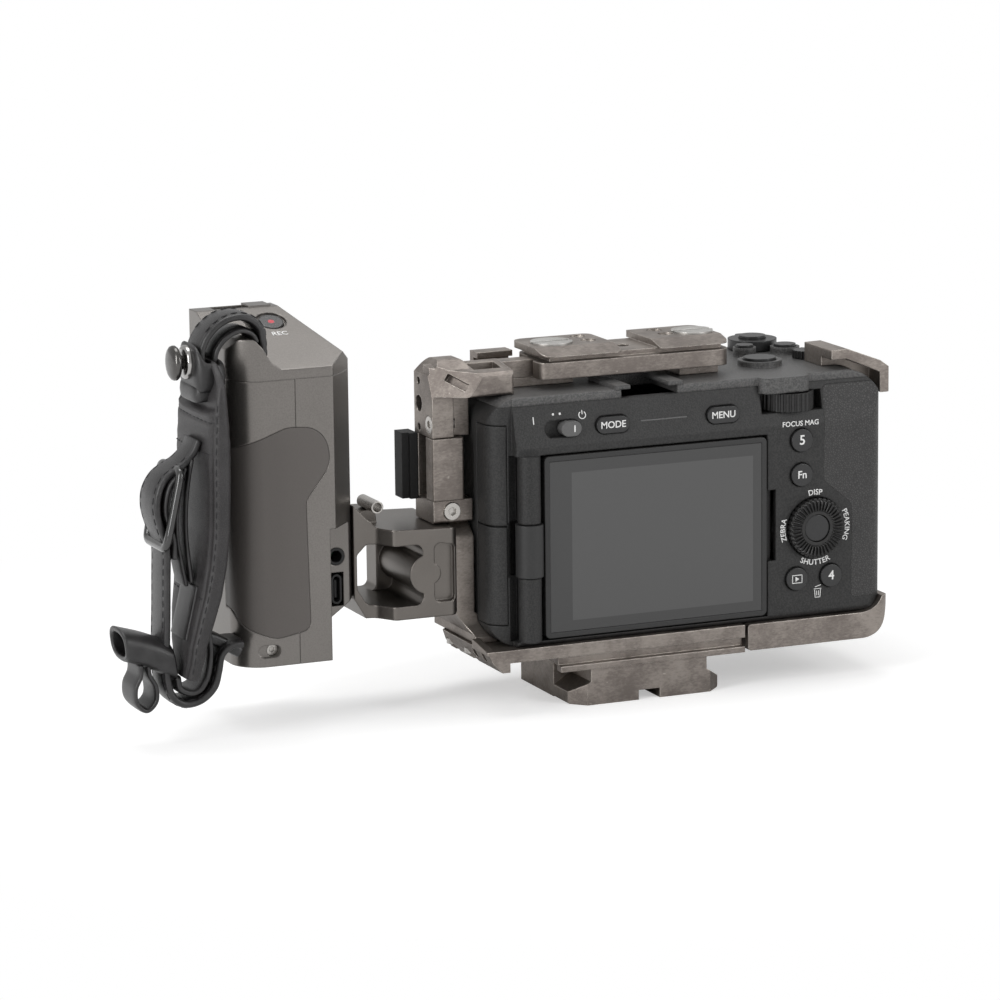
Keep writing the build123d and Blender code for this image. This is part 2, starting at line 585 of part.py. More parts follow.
zoom = rod("z", ZOOM_X, ZOOM_Y, CAM_Z1 + RUN, ZOOM_R, ZOOM_T)
zoom += pill("z", ZOOM_X, ZOOM_Y + ZOOM_R, 4.0, 3.8, CAM_Z1 + RUN, CAM_Z1 + RUN + ZOOM_T)
zoom += rod("z", ZOOM_X, ZOOM_Y, BODY_TOP - 1.0, zoom_stem_r, CAM_LID_T + 2)
zoom -= rod("z", ZOOM_X, ZOOM_Y, BODY_TOP - 2, SHUTTER_R + RUN, CAM_LID_T + ZOOM_T + 4)
keep("camera_zoom_lever", zoom)
keep("camera_shutter_button", rod("z", ZOOM_X, ZOOM_Y, BODY_TOP - 1.0, SHUTTER_R, CAM_LID_T + ZOOM_T + 2.2))

# ------------------------------------------------------------------ lens mount and body cap
ring = tube("y", LENS_X, CAM_FRONT, LENS_Z, MOUNT_R, MOUNT_THROAT_R, MOUNT_T)
keep("camera_mount_ring", ring)
cap = rod("y", LENS_X, CAM_FRONT + MOUNT_T + FIT, LENS_Z, MOUNT_R - 0.6, CAP_T)
cap += tube("y", LENS_X, CAM_FRONT + MOUNT_T + FIT - CAP_PLUG_T, LENS_Z, MOUNT_THROAT_R - SHAFT_FIT,
            MOUNT_THROAT_R - 2.0, CAP_PLUG_T)
keep("camera_body_cap", cap)

# ------------------------------------------------------------------ dovetail foot and base plate
half = FOOT_W / 2
neck = half - FOOT_NECK_IN
foot_section = outline([
    (-half, 0, 0.6), (half, 0, 0.6), (half, FOOT_LIP_H, 0), (neck, FOOT_H - FOOT_NECK_H, 0),
    (neck, FOOT_H, 0), (-neck, FOOT_H, 0), (-neck, FOOT_H - FOOT_NECK_H, 0), (-half, FOOT_LIP_H, 0),
])
foot = across("y", foot_section, -FOOT_L / 2, -FOOT_L / 2 + FOOT_SLIDE_L)
foot += block(-half, half, -FOOT_L / 2 + FOOT_SLIDE_L, FOOT_L / 2, 0, FOOT_H)
foot_plan = outline([(x * half, y * FOOT_L / 2, 0) for x, y in ((-1, -1), (1, -1), (1, 1), (-1, 1))])
foot &= across("z", chamfer(foot_plan.vertices(), FOOT_CORNER), 0, FOOT_H)
foot -= block(-FOOT_NOTCH_W / 2, FOOT_NOTCH_W / 2, -FOOT_L / 2 - 1, -FOOT_L / 2 + FOOT_NOTCH_L, 0, FOOT_NOTCH_H)
foot_screw_x = neck - 6.0
foot_seat = FOOT_H - 6.0
base_screws = []
for side in (-1, 1):
    x = side * foot_screw_x
    foot -= rod("z", x, 0, -1, SMALL_HEAD_R + FIT, foot_seat + 1)
    foot -= rod("z", x, 0, -1, SMALL_SCREW_R + FIT, FOOT_H + 2)
    base_screws.append(cap_screw(x, 0, foot_seat, (0, 0, 1), SMALL_SCREW_R, SMALL_HEAD_R,
                                 SMALL_HEAD_H, FOOT_H - foot_seat + SCREW_BITE))
FOOT_HOLE_Y = 13.5
FOOT_HOLE_L = 9.0
foot -= rod("z", 0, FOOT_HOLE_Y, -1, TRIPOD_THREAD_R, FOOT_HOLE_L + 1)
lip_front = PLATE_BACK + PLATE_LIP_D
foot -= block(-half - 1, half + 1, -FOOT_L / 2 - 1, lip_front + FIT, FOOT_H - PLATE_LIP_T - FIT, FOOT_H + 1)
keep("dovetail_foot", foot)

rib_left = 4.8 - PLATE_W_LEFT
rib_right = rib_left + 2.5
groove_left = 23.9 - PLATE_W_LEFT
plate_view = outline([
    (rib_left, FOOT_H, 0), (PLATE_W_RIGHT, FOOT_H, 0), (PLATE_W_RIGHT, CAM_Z0, 0), (-PLATE_W_LEFT, CAM_Z0, 0),
    (-PLATE_W_LEFT + 1.7, FOOT_H + 3.2, 0),
])
plate_plan = outline([
    (-PLATE_W_LEFT, PLATE_BACK, 1.0), (PLATE_W_RIGHT, PLATE_BACK, 0), (PLATE_W_RIGHT, PLATE_FRONT, 0),
    (rib_left + 8.0, PLATE_FRONT, 1.0), (-PLATE_W_LEFT, PLATE_FRONT - 12.0, 1.0),
])
plate = across("y", plate_view, PLATE_BACK, PLATE_FRONT) & across("z", plate_plan, FOOT_H, CAM_Z0)
lip_end = PLATE_BACK + 11.8
end_lip = outline([
    (PLATE_BACK, CAM_Z0 - 1.0, 0), (lip_end, CAM_Z0 - 1.0, 0), (lip_end, CAM_Z0 + 1.9, 0), (PLATE_BACK, CAM_Z0, 0),
])
plate += across("x", end_lip, -PLATE_W_LEFT, -PLATE_W_LEFT + 2.5)
plate -= block(rib_right, groove_left, PLATE_BACK - 1, PLATE_FRONT + 1, FOOT_H - 1, FOOT_H + PLATE_GROOVE_H)
plate -= block(groove_left, PLATE_W_RIGHT + 1, PLATE_BACK - 1, PLATE_BACK + PLATE_GROOVE_D,
               FOOT_H, FOOT_H + PLATE_GROOVE_H)
# a thin lip hangs below the groove along the plate's back edge
plate += block(groove_left, PLATE_W_RIGHT, PLATE_BACK, lip_front, FOOT_H - PLATE_LIP_T, FOOT_H)
for y in (PLATE_BACK + 6.0, PLATE_BACK + 12.8):
    plate -= block(-PLATE_W_LEFT - 1, -PLATE_W_LEFT + 4.0, y - 1.5, y + 1.5, CAM_Z0 - 4.2, CAM_Z0 - 1.2)
plate -= rod("z", 0, TRIPOD_Y, FOOT_H - 1, TRIPOD_HEAD_R + FIT, TRIPOD_HEAD_H + 1)
plate -= rod("z", 0, TRIPOD_Y, FOOT_H, TRIPOD_THREAD_R + FIT, PLATE_T + 1)
for side in (-1, 1):
    plate -= rod("z", side * foot_screw_x, 0, FOOT_H - 1, SMALL_SCREW_R + FIT, SCREW_BITE + 1.2)
tripod_screw = rod("z", 0, TRIPOD_Y, FOOT_H + TRIPOD_HEAD_H, TRIPOD_THREAD_R, PLATE_T + 2.5)
tripod_screw += rod("z", 0, TRIPOD_Y, FOOT_H + 0.1, TRIPOD_HEAD_R, TRIPOD_HEAD_H - 0.1)
tripod_screw -= block(-TRIPOD_HEAD_R, TRIPOD_HEAD_R, TRIPOD_Y - 0.8, TRIPOD_Y + 0.8, FOOT_H, FOOT_H + 1.2)
keep("tripod_screw", tripod_screw)

# the bracket wraps the camera's lower right corner; its tongue is let into the plate's underside
bracket_left = PLATE_W_RIGHT + BRACKET_SEAM
bracket_right = CAM_RIGHT + FIT + BRACKET_WALL
bracket_low = CAM_Z0 - BRACKET_T
bracket_view = outline([
    (bracket_left, bracket_low, 1.0), (bracket_right - 3.6, bracket_low, CAM_R_LOW_RIGHT),
    (bracket_right, CAM_Z0 + BRACKET_LIP_H, 0.8), (CAM_RIGHT - 14.0, CAM_Z0 + BRACKET_LIP_H, 0),
    (CAM_RIGHT - 14.0, CAM_Z0 - FIT, 0), (bracket_left, CAM_Z0 - FIT, 1.0),
])
bracket = across("y", bracket_view, PLATE_BACK, PLATE_FRONT - 6.0)
bracket &= across("z", outline([
    (bracket_left, PLATE_BACK, 0), (bracket_right, PLATE_BACK, 6.0), (bracket_right, PLATE_FRONT, 0),
    (bracket_left, PLATE_FRONT, 0),
]), bracket_low, CAM_Z1)
bracket -= across("y", offset(camera_front_view(0), FIT), CAM_BACK - 3, PLATE_FRONT)
bracket -= block(bracket_left + 8, bracket_right - 12, PLATE_BACK + 8, PLATE_FRONT - 14, bracket_low, CAM_Z0 - 3.4)
TONGUE_L = 12.0
TONGUE_T = 3.0
TONGUE_HEAD_H = 1.6
tongue_y0 = PLATE_BACK + 14.2
tongue_y1 = tongue_y0 + 20.0
tongue_z1 = FOOT_H + TONGUE_T
tongue_x0 = bracket_left - TONGUE_L
bracket += block(tongue_x0, bracket_left + 1, tongue_y0, tongue_y1, FOOT_H + 0.2, tongue_z1)
plate -= block(tongue_x0 - FIT, PLATE_W_RIGHT + 1, tongue_y0 - FIT, tongue_y1 + FIT, FOOT_H - 1, tongue_z1 + FIT)
tongue_screw_x = PLATE_W_RIGHT - 4.2
for y in (tongue_y0 + 5.0, tongue_y1 - 5.0):
    bracket -= rod("z", tongue_screw_x, y, FOOT_H - 1, SMALL_SCREW_R + FIT, TONGUE_T + 2)
    bracket -= rod("z", tongue_screw_x, y, FOOT_H - 1, SMALL_HEAD_R + FIT, 1.2 + TONGUE_HEAD_H)
    plate -= rod("z", tongue_screw_x, y, FOOT_H, SMALL_SCREW_R + FIT, TONGUE_T + FIT + SCREW_BITE)
    base_screws.append(cap_screw(tongue_screw_x, y, FOOT_H + 0.2 + TONGUE_HEAD_H, (0, 0, 1), SMALL_SCREW_R,
                                 SMALL_HEAD_R, TONGUE_HEAD_H, TONGUE_T + SCREW_BITE - TONGUE_HEAD_H - 0.4))
keep("cage_base_plate", plate)
keep("cage_right_bracket", bracket)
keep("base_screws", *base_screws)

# ------------------------------------------------------------------ cage side frame
wall_in = CAM_LEFT - WALL_GAP
WALL_FOOT_X = 1.1 - PLATE_W_LEFT    # the wall's lower edge is drawn in to this line
WALL_FOOT_IN = 8.3 - PLATE_W_LEFT
wall_low_y = PLATE_BACK + 12.2
WALL_BACK = DOOR_FRONT_Y + 0.6    # clear of the port doors when they swing out
column_front = COLUMN_BACK + COLUMN_D
wall = across("x", outline([
    (wall_low_y, CAM_Z0 + FIT, 0), (PLATE_FRONT - 3.0, CAM_Z0 + FIT, 0), (PLATE_FRONT - 3.0, CAM_Z1 + 0.5, 4.0),
    (column_front - 6.0, CAM_Z1 + 0.5, 0), (column_front - 6.0, COLUMN_Z0 + 3.4, 3.0),
    (WALL_BACK, COLUMN_Z0 - 4.6, 2.0), (WALL_BACK, CAM_Z0 + 5.6, 2.0), (wall_low_y, CAM_Z0 + 2.0, 0),
]), WALL_X, WALL_FOOT_IN)
wall &= across("y", outline([
    (WALL_FOOT_X, CAM_Z0, 0), (WALL_FOOT_IN, CAM_Z0, 0), (WALL_FOOT_IN, CAM_Z0 + 4.0, 0), (wall_in, CAM_Z0 + 9.0, 0),
    (wall_in, CAM_Z1 + 5, 0), (WALL_X, CAM_Z1 + 5, 0), (WALL_X, CAM_Z0 + 10.0, 0), (WALL_FOOT_X, CAM_Z0 + 2.6, 0),
]), lip_end - 0.6, PLATE_FRONT)
wall -= block(WALL_X, WALL_FOOT_IN, lip_end - 2.0, lip_end + 2 * FIT, CAM_Z0, CAM_Z0 + 3)
slot_y = column_front + 4.5
wall -= across("x", outline([
    (slot_y, COLUMN_Z0 + 5.4, 2.0), (slot_y + 5.0, COLUMN_Z0 + 5.4, 2.0),
    (slot_y + 5.0, CLAMP_Z1 + 3.6, 2.0), (slot_y, CLAMP_Z1 + 3.6, 2.0),
]), WALL_X - 1, wall_in + 1)
column = across("x", outline([
    (COLUMN_BACK, COLUMN_Z0, 0.8), (column_front, COLUMN_Z0, 0.8), (column_front, COLUMN_Z1, 3.0),
    (CLAW_BACK + 12.0, COLUMN_Z1, 5.0), (COLUMN_BACK, COLUMN_Z1 - 2.6, 1.0),
]), COLUMN_X, wall_in)
column -= block(COLUMN_X - 1, wall_in + 1, COLUMN_BACK - 1, column_front - 2.6, CLAMP_Z0, CLAMP_Z1)
corner = outline([(COLUMN_X, COLUMN_Z0, 0), (wall_in, COLUMN_Z0, 0), (wall_in, COLUMN_Z1, 2.0),
                  (COLUMN_X + 4.3, COLUMN_Z1, 0), (COLUMN_X, COLUMN_Z1 - 4.2, 0)])
column &= across("y", corner, COLUMN_BACK - 1, column_front + 1)
# above the clamp the right half of the back face is let in
column -= block(COLUMN_X + 6.8, wall_in + 1, COLUMN_BACK - 1, COLUMN_BACK + 2.2, CLAMP_Z1, CAM_Z1 - 0.6)
side_holes = [(4.4, COLUMN_Z1 - 6.6, 1.2), (4.4, COLUMN_Z1 - 13.4, 2.5), (4.4, COLUMN_Z1 - 20.6, 1.2)]
for y, z, r in side_holes:
    column -= rod("x", COLUMN_X - 1, y, z, r, 6.0)

bridge_low = CAM_Z1 + FIT
claw_right = COLUMN_X + 9.7 + CLAW_W
bridge_back = CLAW_BACK + 11.0
bridge_front = bridge_back + 24.0
bridge = block(wall_in - 1.0, RAIL_LEFT + 14.0, bridge_back, bridge_front, bridge_low, bridge_low + BRIDGE_T)
claw_left = COLUMN_X + 9.7
claw_front = bridge_back + 3.2
claw = across("x", outline([
    (CLAW_BACK, bridge_low, 0.8), (claw_front, bridge_low, 0), (claw_front, COLUMN_Z1 - 1.4, 0),
    (bridge_back, COLUMN_Z1 - 1.8, 3.0), (CLAW_BACK + 1.6, bridge_low + CLAW_H + 1.2, 0.6),
    (CLAW_BACK, bridge_low + CLAW_H, 0.6),
]), COLUMN_X, claw_right)
claw &= across("z", outline([
    (COLUMN_X + 0.6, COLUMN_BACK, 0), (claw_left, CLAW_BACK, 0), (claw_right, CLAW_BACK, 1.5),
    (claw_right, claw_front, 0), (COLUMN_X + 0.6, claw_front, 0),
]), bridge_low, COLUMN_Z1)
claw -= block(claw_left + 3.4, claw_right - 2.2, CLAW_BACK + 5.0, bridge_back + 0.6, bridge_low + 3.4, COLUMN_Z1 + 1)
frame_body = wall + column + bridge + claw
# the corner between column and claw is planed off, with a slot let into the slope
slope_dir = (-0.517, -0.775, 0.363)
slope_along = (-0.832, 0.555, 0)
slope = Plane((claw_left, CLAW_BACK, bridge_low), x_dir=slope_along, z_dir=slope_dir)
frame_body -= extrude(slope * Rectangle(60.0, 60.0), 20.0) & block(
    COLUMN_X - 5, claw_right, CLAW_BACK - 5, column_front, bridge_low - 4.0, COLUMN_Z1 + 5)
frame_body -= extrude(slope * (Pos(4.4, -4.6) * Rot(0, 0, -26) * Rectangle(7.4, 2.4)), -2.6)
frame_body -= across("y", offset(camera_front_view(0), FIT), CAM_BACK - 3, CAM_FRONT + 3)
post_x, post_y = screw_posts["left"]
frame_body -= rod("z", post_x, post_y, bridge_low - 1, SMALL_SCREW_R + FIT, BRIDGE_T + 2)

# screws through the column and up into the wall from the plate
clamp_screw_z = (COLUMN_Z0 + CLAMP_Z0) / 2
side_screws = []
CLAMP_SCREW_R, CLAMP_HEAD_R = 1.5, 2.6
clamp_screw_x = COLUMN_X + 5.9
lock_y, lock_z = COLUMN_BACK + 3.0, CLAMP_Z1 + 3.8
frame_body -= rod("y", clamp_screw_x, COLUMN_BACK - 1, clamp_screw_z, CLAMP_HEAD_R + FIT, 2.6)
frame_body -= rod("y", clamp_screw_x, COLUMN_BACK, clamp_screw_z, CLAMP_SCREW_R + FIT, 8.0)
side_screws.append(cap_screw(clamp_screw_x, COLUMN_BACK + 1.6, clamp_screw_z, (0, 1, 0),
                             CLAMP_SCREW_R, CLAMP_HEAD_R, 2.0, 6.0))
frame_body -= rod("x", COLUMN_X - 1, lock_y, lock_z, CLAMP_HEAD_R + FIT, 2.6)
frame_body -= rod("x", COLUMN_X, lock_y, lock_z, CLAMP_SCREW_R + FIT, 8.0)
side_screws.append(cap_screw(COLUMN_X + 1.6, lock_y, lock_z, (1, 0, 0), CLAMP_SCREW_R, CLAMP_HEAD_R, 1.6, 6.0))
WALL_SCREW_R, WALL_HEAD_R, WALL_HEAD_H = 1.25, 2.2, 1.6
wall_screw_x = WALL_FOOT_X + 2.2
for y in (lip_end + 8.4, lip_end + 22.4):
    frame_body -= rod("z", wall_screw_x, y, CAM_Z0 - 1, WALL_SCREW_R + FIT, 4.2)
    parts["cage_base_plate"][0] -= rod("z", wall_screw_x, y, FOOT_H - 1, WALL_SCREW_R + FIT, PLATE_T + 2)
    parts["cage_base_plate"][0] -= rod("z", wall_screw_x, y, FOOT_H - 1, WALL_HEAD_R + FIT, 5.0)
    side_screws.append(cap_screw(wall_screw_x, y, FOOT_H + 4.0, (0, 0, 1), WALL_SCREW_R, WALL_HEAD_R,
                                 WALL_HEAD_H, 5.4))
keep("cage_side_frame", frame_body)

# cable clamp jaw fills the column's notch; a rubber pad sits outside it
jaw = across("z", outline([
    (COLUMN_X - 0.3, COLUMN_BACK - 0.8, 0.8), (COLUMN_X + 9.8, COLUMN_BACK - 0.8, 0.8),
    (COLUMN_X + 9.8, COLUMN_BACK + CLAMP_T, 0.8), (COLUMN_X - 0.3, COLUMN_BACK + CLAMP_T, 0.8),
]), CLAMP_Z0 + RUN, CLAMP_Z1 - RUN)
keep("cable_clamp_jaw", jaw)
PAD_BLOCK_T = 4.6
pad_y0, pad_y1 = column_front - 2.6, column_front + 5.0
rubber = block(COLUMN_X - PAD_BLOCK_T, COLUMN_X - FIT, pad_y0, pad_y1, CLAMP_Z0 - 1.0, CLAMP_Z1)
rubber -= block(COLUMN_X - PAD_BLOCK_T - 1, COLUMN_X - 2.6, pad_y0 - 1, pad_y0 + 1.6, CLAMP_Z0 - 2, CLAMP_Z1 + 1)
keep("cage_rubber_pad", rubber)

# ------------------------------------------------------------------ cold shoe on the bridge
shoe_low = bridge_low + BRIDGE_T
cold_x1 = RAIL_LEFT + 2.0
cold_x0 = cold_x1 - COLD_SHOE_L
cold_y0, cold_y1 = bridge_back, bridge_front
cold = block(cold_x0, cold_x1, cold_y0, cold_y1, shoe_low, shoe_low + COLD_SHOE_H)
slot_y0, slot_y1 = cold_y0 + COLD_SHOE_WALL, cold_y1 - COLD_SHOE_WALL
cold -= block(cold_x0 - 1, cold_x1 + 1, slot_y0, slot_y1, shoe_low + 1.4, shoe_low + 1.4 + SHOE_H)
lip = (SHOE_W - SHOE_LIP_GAP) / 2
cold -= block(cold_x0 - 1, cold_x1 + 1, slot_y0 + lip, slot_y1 - lip, shoe_low + 1.4, shoe_low + COLD_SHOE_H + 1)
cold_mid_x, cold_mid_y = (cold_x0 + cold_x1) / 2, (cold_y0 + cold_y1) / 2
cold -= rod("z", cold_mid_x, cold_mid_y, shoe_low - 1, 1.5 + FIT, 5.0)
parts["cage_side_frame"][0] -= rod("z", cold_mid_x, cold_mid_y, bridge_low - 1, 1.5 + FIT, BRIDGE_T + 2)
side_screws.append(rod("z", cold_mid_x, cold_mid_y, bridge_low + 0.2, 1.5, BRIDGE_T + 1.2))
keep("cage_cold_shoe", cold)
keep("side_screws", *side_screws)

# ------------------------------------------------------------------ top rail plate
rail_front = RAIL_BACK + RAIL_D
rail = across("z", outline([
    (RAIL_LEFT, RAIL_BACK, 3.0), (RAIL_RIGHT, RAIL_BACK, 4.0), (RAIL_RIGHT, rail_front, 2.0),
    (cold_x1 + 0.3, rail_front, 5.0), (cold_x1 + 0.3, cold_y0 - 0.3, 0), (RAIL_LEFT, cold_y0 - 1.5, 1.0),
]), RAIL_Z0, RAIL_Z1)
NECK_IN = 3.0
NECK_H = 1.6
rail += block(RAIL_LEFT + 4, RAIL_RIGHT - 2, RAIL_BACK + NECK_IN, rail_front - NECK_IN, RAIL_Z1, RAIL_Z1 + NECK_H)
head_low = RAIL_Z1 + NECK_H
left_head_x0 = RAIL_LEFT + 1.0
left_head_x1 = left_head_x0 + LEFT_HEAD_W
right_head_x0 = RAIL_RIGHT - RIGHT_HEAD_W
head_spans = ((left_head_x0, left_head_x1, 4.0, 2.5), (right_head_x0, RAIL_RIGHT, 1.0, 4.0))
for x0, x1, left_r, right_r in head_spans:
    rail += across("z", outline([
        (x0, RAIL_BACK, left_r), (x1, RAIL_BACK, right_r), (x1, rail_front, right_r), (x0, rail_front, left_r),
    ]), head_low, RAIL_Z1 + RAIL_STEP)
head_slope = outline([
    (RAIL_BACK - 1, RAIL_Z1 + RAIL_STEP - 2.1, 0), (RAIL_BACK + 7.5, RAIL_Z1 + RAIL_STEP, 0),
    (RAIL_BACK - 1, RAIL_Z1 + RAIL_STEP + 1, 0),
])
rail -= across("x", head_slope, RAIL_LEFT, RAIL_RIGHT)
foot_left = (cold_x1 + 0.3, RAIL_LEFT + 13.0, shoe_low)
foot_right = (RAIL_RIGHT - 15.0, RAIL_RIGHT - 2.0, CAM_Z1 + FIT)
for x0, x1, z0 in (foot_left, foot_right):
    rail += block(x0, x1, RAIL_BACK + 5.0, rail_front - 4.0, z0, RAIL_Z0)
rail_top = RAIL_Z1 + RAIL_STEP
left_hole_x, right_hole_x = left_head_x1 - 5.4, right_head_x0 + 8.0
mid_hole_x = (left_head_x1 + right_head_x0) / 2 - 1.3
near_hole_y, far_hole_y = RAIL_BACK + 14.1, RAIL_BACK + 22.1
hole_spots = [(x, y) for x in (left_hole_x, right_hole_x) for y in (near_hole_y, far_hole_y)]
hole_spots.append((mid_hole_x, near_hole_y - 2.5))
for x, y in hole_spots:
    rail -= rod("z", x, y, RAIL_Z0 + 0.6, 2.1, 14)
    rail -= rod("z", x, y, rail_top - 0.5, 2.5, 3)
slotted = []
for x, y in screw_posts.values():
    rail -= rod("z", x, y, RAIL_Z0 - 8, SMALL_SCREW_R + FIT, 24)
    rail -= rod("z", x, y, rail_top - SLOT_SCREW_T + 0.6, SLOT_SCREW_R + FIT, 6)
    head_z = rail_top - SLOT_SCREW_T + 0.6
    screw = rod("z", x, y, BODY_TOP - 6.0, SMALL_SCREW_R, head_z - BODY_TOP + 6.0)
    screw += rod("z", x, y, head_z, SLOT_SCREW_R, SLOT_SCREW_T)
    screw -= block(x - SLOT_SCREW_R, x + SLOT_SCREW_R, y - 0.9, y + 0.9, head_z + 1.0, head_z + 4)
    slotted.append(screw)
keep("cage_top_rail", rail)
keep("slotted_screws", *slotted)

# ------------------------------------------------------------------ right shoulder hook
# an angular bracket over the camera's top right corner: its far part lies on the camera, and its
# near part stands off as a hook
hook_line = [(CAM_RIGHT - 15.5, CAM_Z1 + 5.9), (CAM_RIGHT - 10.0, CAM_Z1 + 6.0), (CAM_RIGHT + 1.2, CAM_Z1 + 1.7),
             (CAM_RIGHT + 4.1, CAM_Z1 - 0.4), (CAM_RIGHT + 4.1, CAM_Z1 - 8.3)]
hook_inner = [(CAM_RIGHT + 4.1 - HOOK_T, CAM_Z1 - 8.3), (CAM_RIGHT + 4.1 - HOOK_T, CAM_Z1 - 1.9),
              (CAM_RIGHT - 0.2, CAM_Z1 - 1.3), (CAM_RIGHT - 10.5, CAM_Z1 + 6.0 - HOOK_T),
              (CAM_RIGHT - 15.5, CAM_Z1 + 5.9 - HOOK_T)]
hook_y0 = CAM_BACK + 5.7
hook_y1 = hook_y0 + HOOK_LEN
hook_near = across("y", outline([(x, z, 0.3) for x, z in hook_line + hook_inner]), hook_y0, hook_y1)
hook_foot = [(CAM_RIGHT - 4.0, CAM_Z1 - 12.0), (CAM_RIGHT - 15.5, CAM_Z1 - 4.0)]
hook_far = across("y", outline([(x, z, 0) for x, z in hook_line + hook_foot]), hook_y0 + 7.0, hook_y1)
hook = hook_near + (hook_far - across("y", offset(camera_front_view(0), FIT), CAM_BACK, CAM_FRONT))
keep("cage_shoulder_hook", hook)

# ------------------------------------------------------------------ arm between cage and handle
arm_front = ARM_BACK + ARM_D
arm_z1 = ARM_Z0 + ARM_H
arm_left = HANDLE_RIGHT + FIT
arm_plan = outline([
    (arm_left, ARM_BACK + ARM_STEP, 0), (ARM_NECK_X, ARM_BACK + ARM_STEP, 4.0),
    (ARM_NECK_X + 4.5, ARM_BACK, 2.0), (ARM_RIGHT, ARM_BACK, 3.0), (ARM_RIGHT, arm_front, 0),
    (arm_left, arm_front, 0),
])
arm = across("z", arm_plan, ARM_Z0, arm_z1 + 10.0)
arm_view = outline([
    (arm_left, ARM_Z0 + 6.0, 0), (arm_left + 3.5, ARM_Z0, 0), (ARM_RIGHT, ARM_Z0, 2.0),
    (ARM_RIGHT, arm_z1, 2.0), (ARM_NECK_X + 1.0, arm_z1 + 1.0, 2.0), (arm_left, arm_z1 + 8.0, 0),
])
arm &= across("y", arm_view, ARM_BACK - 1, arm_front + 1)
window_x1 = ARM_RIGHT - WINDOW_IN
front_window_x1 = window_x1 - WINDOW_STEP
window = outline([
    (arm_left + ARM_RIM, ARM_Z0 + 9.0, 1.5), (arm_left + 4.0, ARM_Z0 + ARM_WALL, 2.0),
    (window_x1, ARM_Z0 + ARM_WALL, 2.5), (window_x1, arm_z1 - ARM_WALL, 2.5),
    (arm_left + 4.0, arm_z1 - ARM_WALL, 2.0), (arm_left + ARM_RIM, arm_z1 - ARM_WALL - 3.0, 1.5),
])
arm_mid_z = (ARM_Z0 + arm_z1) / 2
lobe = 3.0
window_cut = across("y", window, ARM_BACK - 1, ARM_BACK + 25.0)
window_cut -= rod("y", window_x1 + lobe * 0.6, ARM_BACK - 2, arm_mid_z, lobe * 2, 30.0)
front_window = outline([
    (arm_left + ARM_RIM, ARM_Z0 + 9.0, 1.5), (arm_left + 4.0, ARM_Z0 + ARM_WALL, 2.0),
    (front_window_x1, ARM_Z0 + ARM_WALL, 2.0), (front_window_x1, arm_z1 - ARM_WALL, 2.0),
    (arm_left + 4.0, arm_z1 - ARM_WALL, 2.0), (arm_left + ARM_RIM, arm_z1 - ARM_WALL - 3.0, 1.5),
])
window_cut += across("y", front_window, ARM_BACK + 24.0, arm_front + 1)
arm -= window_cut
pocket_x = ARM_RIGHT - 4.6
pocket = outline([
    (pocket_x - 3.4, ARM_Z0 + 4.4, 2.0), (ARM_RIGHT - 1.4, ARM_Z0 + 4.4, 1.5),
    (ARM_RIGHT - 1.4, arm_z1 - 5.0, 1.5), (pocket_x - 3.4, arm_z1 - 3.6, 2.0),
])
pocket_cut = across("y", pocket, ARM_BACK - 1, ARM_BACK + ARM_POCKET_D)
pocket_cut -= rod("y", pocket_x - 4.6, ARM_BACK - 2, arm_mid_z, 3.2, 5.0)
arm -= pocket_cut

# a foot on the arm's right side is screwed to the side frame's wall
arm_bolt_y = ARM_BACK + 23.7
ARM_BOLT_R = 2.5
clip_ys = (ARM_BACK + 11.7, ARM_BACK + 27.2)
clip_z = arm_z1 + 2.2
bolts = []
for z in (arm_mid_z - 7.0, arm_mid_z + 7.0):
    parts["cage_side_frame"][0] -= rod("x", WALL_X - 1, arm_bolt_y, z, ARM_BOLT_R + FIT, 12.0)
    arm -= rod("x", ARM_RIGHT - 5.0, arm_bolt_y, z, ARM_BOLT_R + FIT, 8.0)
    bolts.append(rod("x", ARM_RIGHT - 4.6, arm_bolt_y, z, ARM_BOLT_R, 4.6 + wall_in - WALL_X - 0.3))
for y in clip_ys:
    arm -= rod("x", arm_left - 1, y, clip_z, 1.5 + FIT, 5.2)
    bolts.append(rod("x", HANDLE_RIGHT - HANDLE_WALL + 0.2, y, clip_z, 1.5, HANDLE_WALL + 3.6))
pin_x, pin_z = HANDLE_RIGHT + 7.8, arm_z1 + 6.9
arm += across("y", outline([
    (pin_x - 7.6, arm_z1 + 1.0, 0), (pin_x + 2.5, arm_z1, 0), (pin_x + PIN_R, pin_z - PIN_R, 0.5),
    (pin_x - PIN_R - 4.0, pin_z - PIN_R, 0),
]), ARM_BACK + 14.0, ARM_BACK + 24.0)
pin_y0 = ARM_BACK + ARM_STEP
keep("arm_bracket", arm - rod("y", pin_x, pin_y0 - 1, pin_z, PIN_R + SHAFT_FIT, PIN_L + 12))
keep("arm_bolts", *bolts)
keep("arm_pin", tube("y", pin_x, pin_y0, pin_z, PIN_R, PIN_R - 0.5, PIN_L))

# ------------------------------------------------------------------ handle
def handle_plan(inset):
    """The handle's outline from above"""
    face = outline([
        (HANDLE_LEFT, HANDLE_BACK, HANDLE_R),
        (HANDLE_RIGHT - HANDLE_BEVEL, HANDLE_BACK, 0.8),
        (HANDLE_RIGHT, HANDLE_BACK + HANDLE_BEVEL + 1.2, 0.8), (HANDLE_RIGHT, HANDLE_FRONT, 5.0),
        (HANDLE_LEFT, HANDLE_FRONT, 2.0),
    ])
    return offset(face, -inset) if inset else face


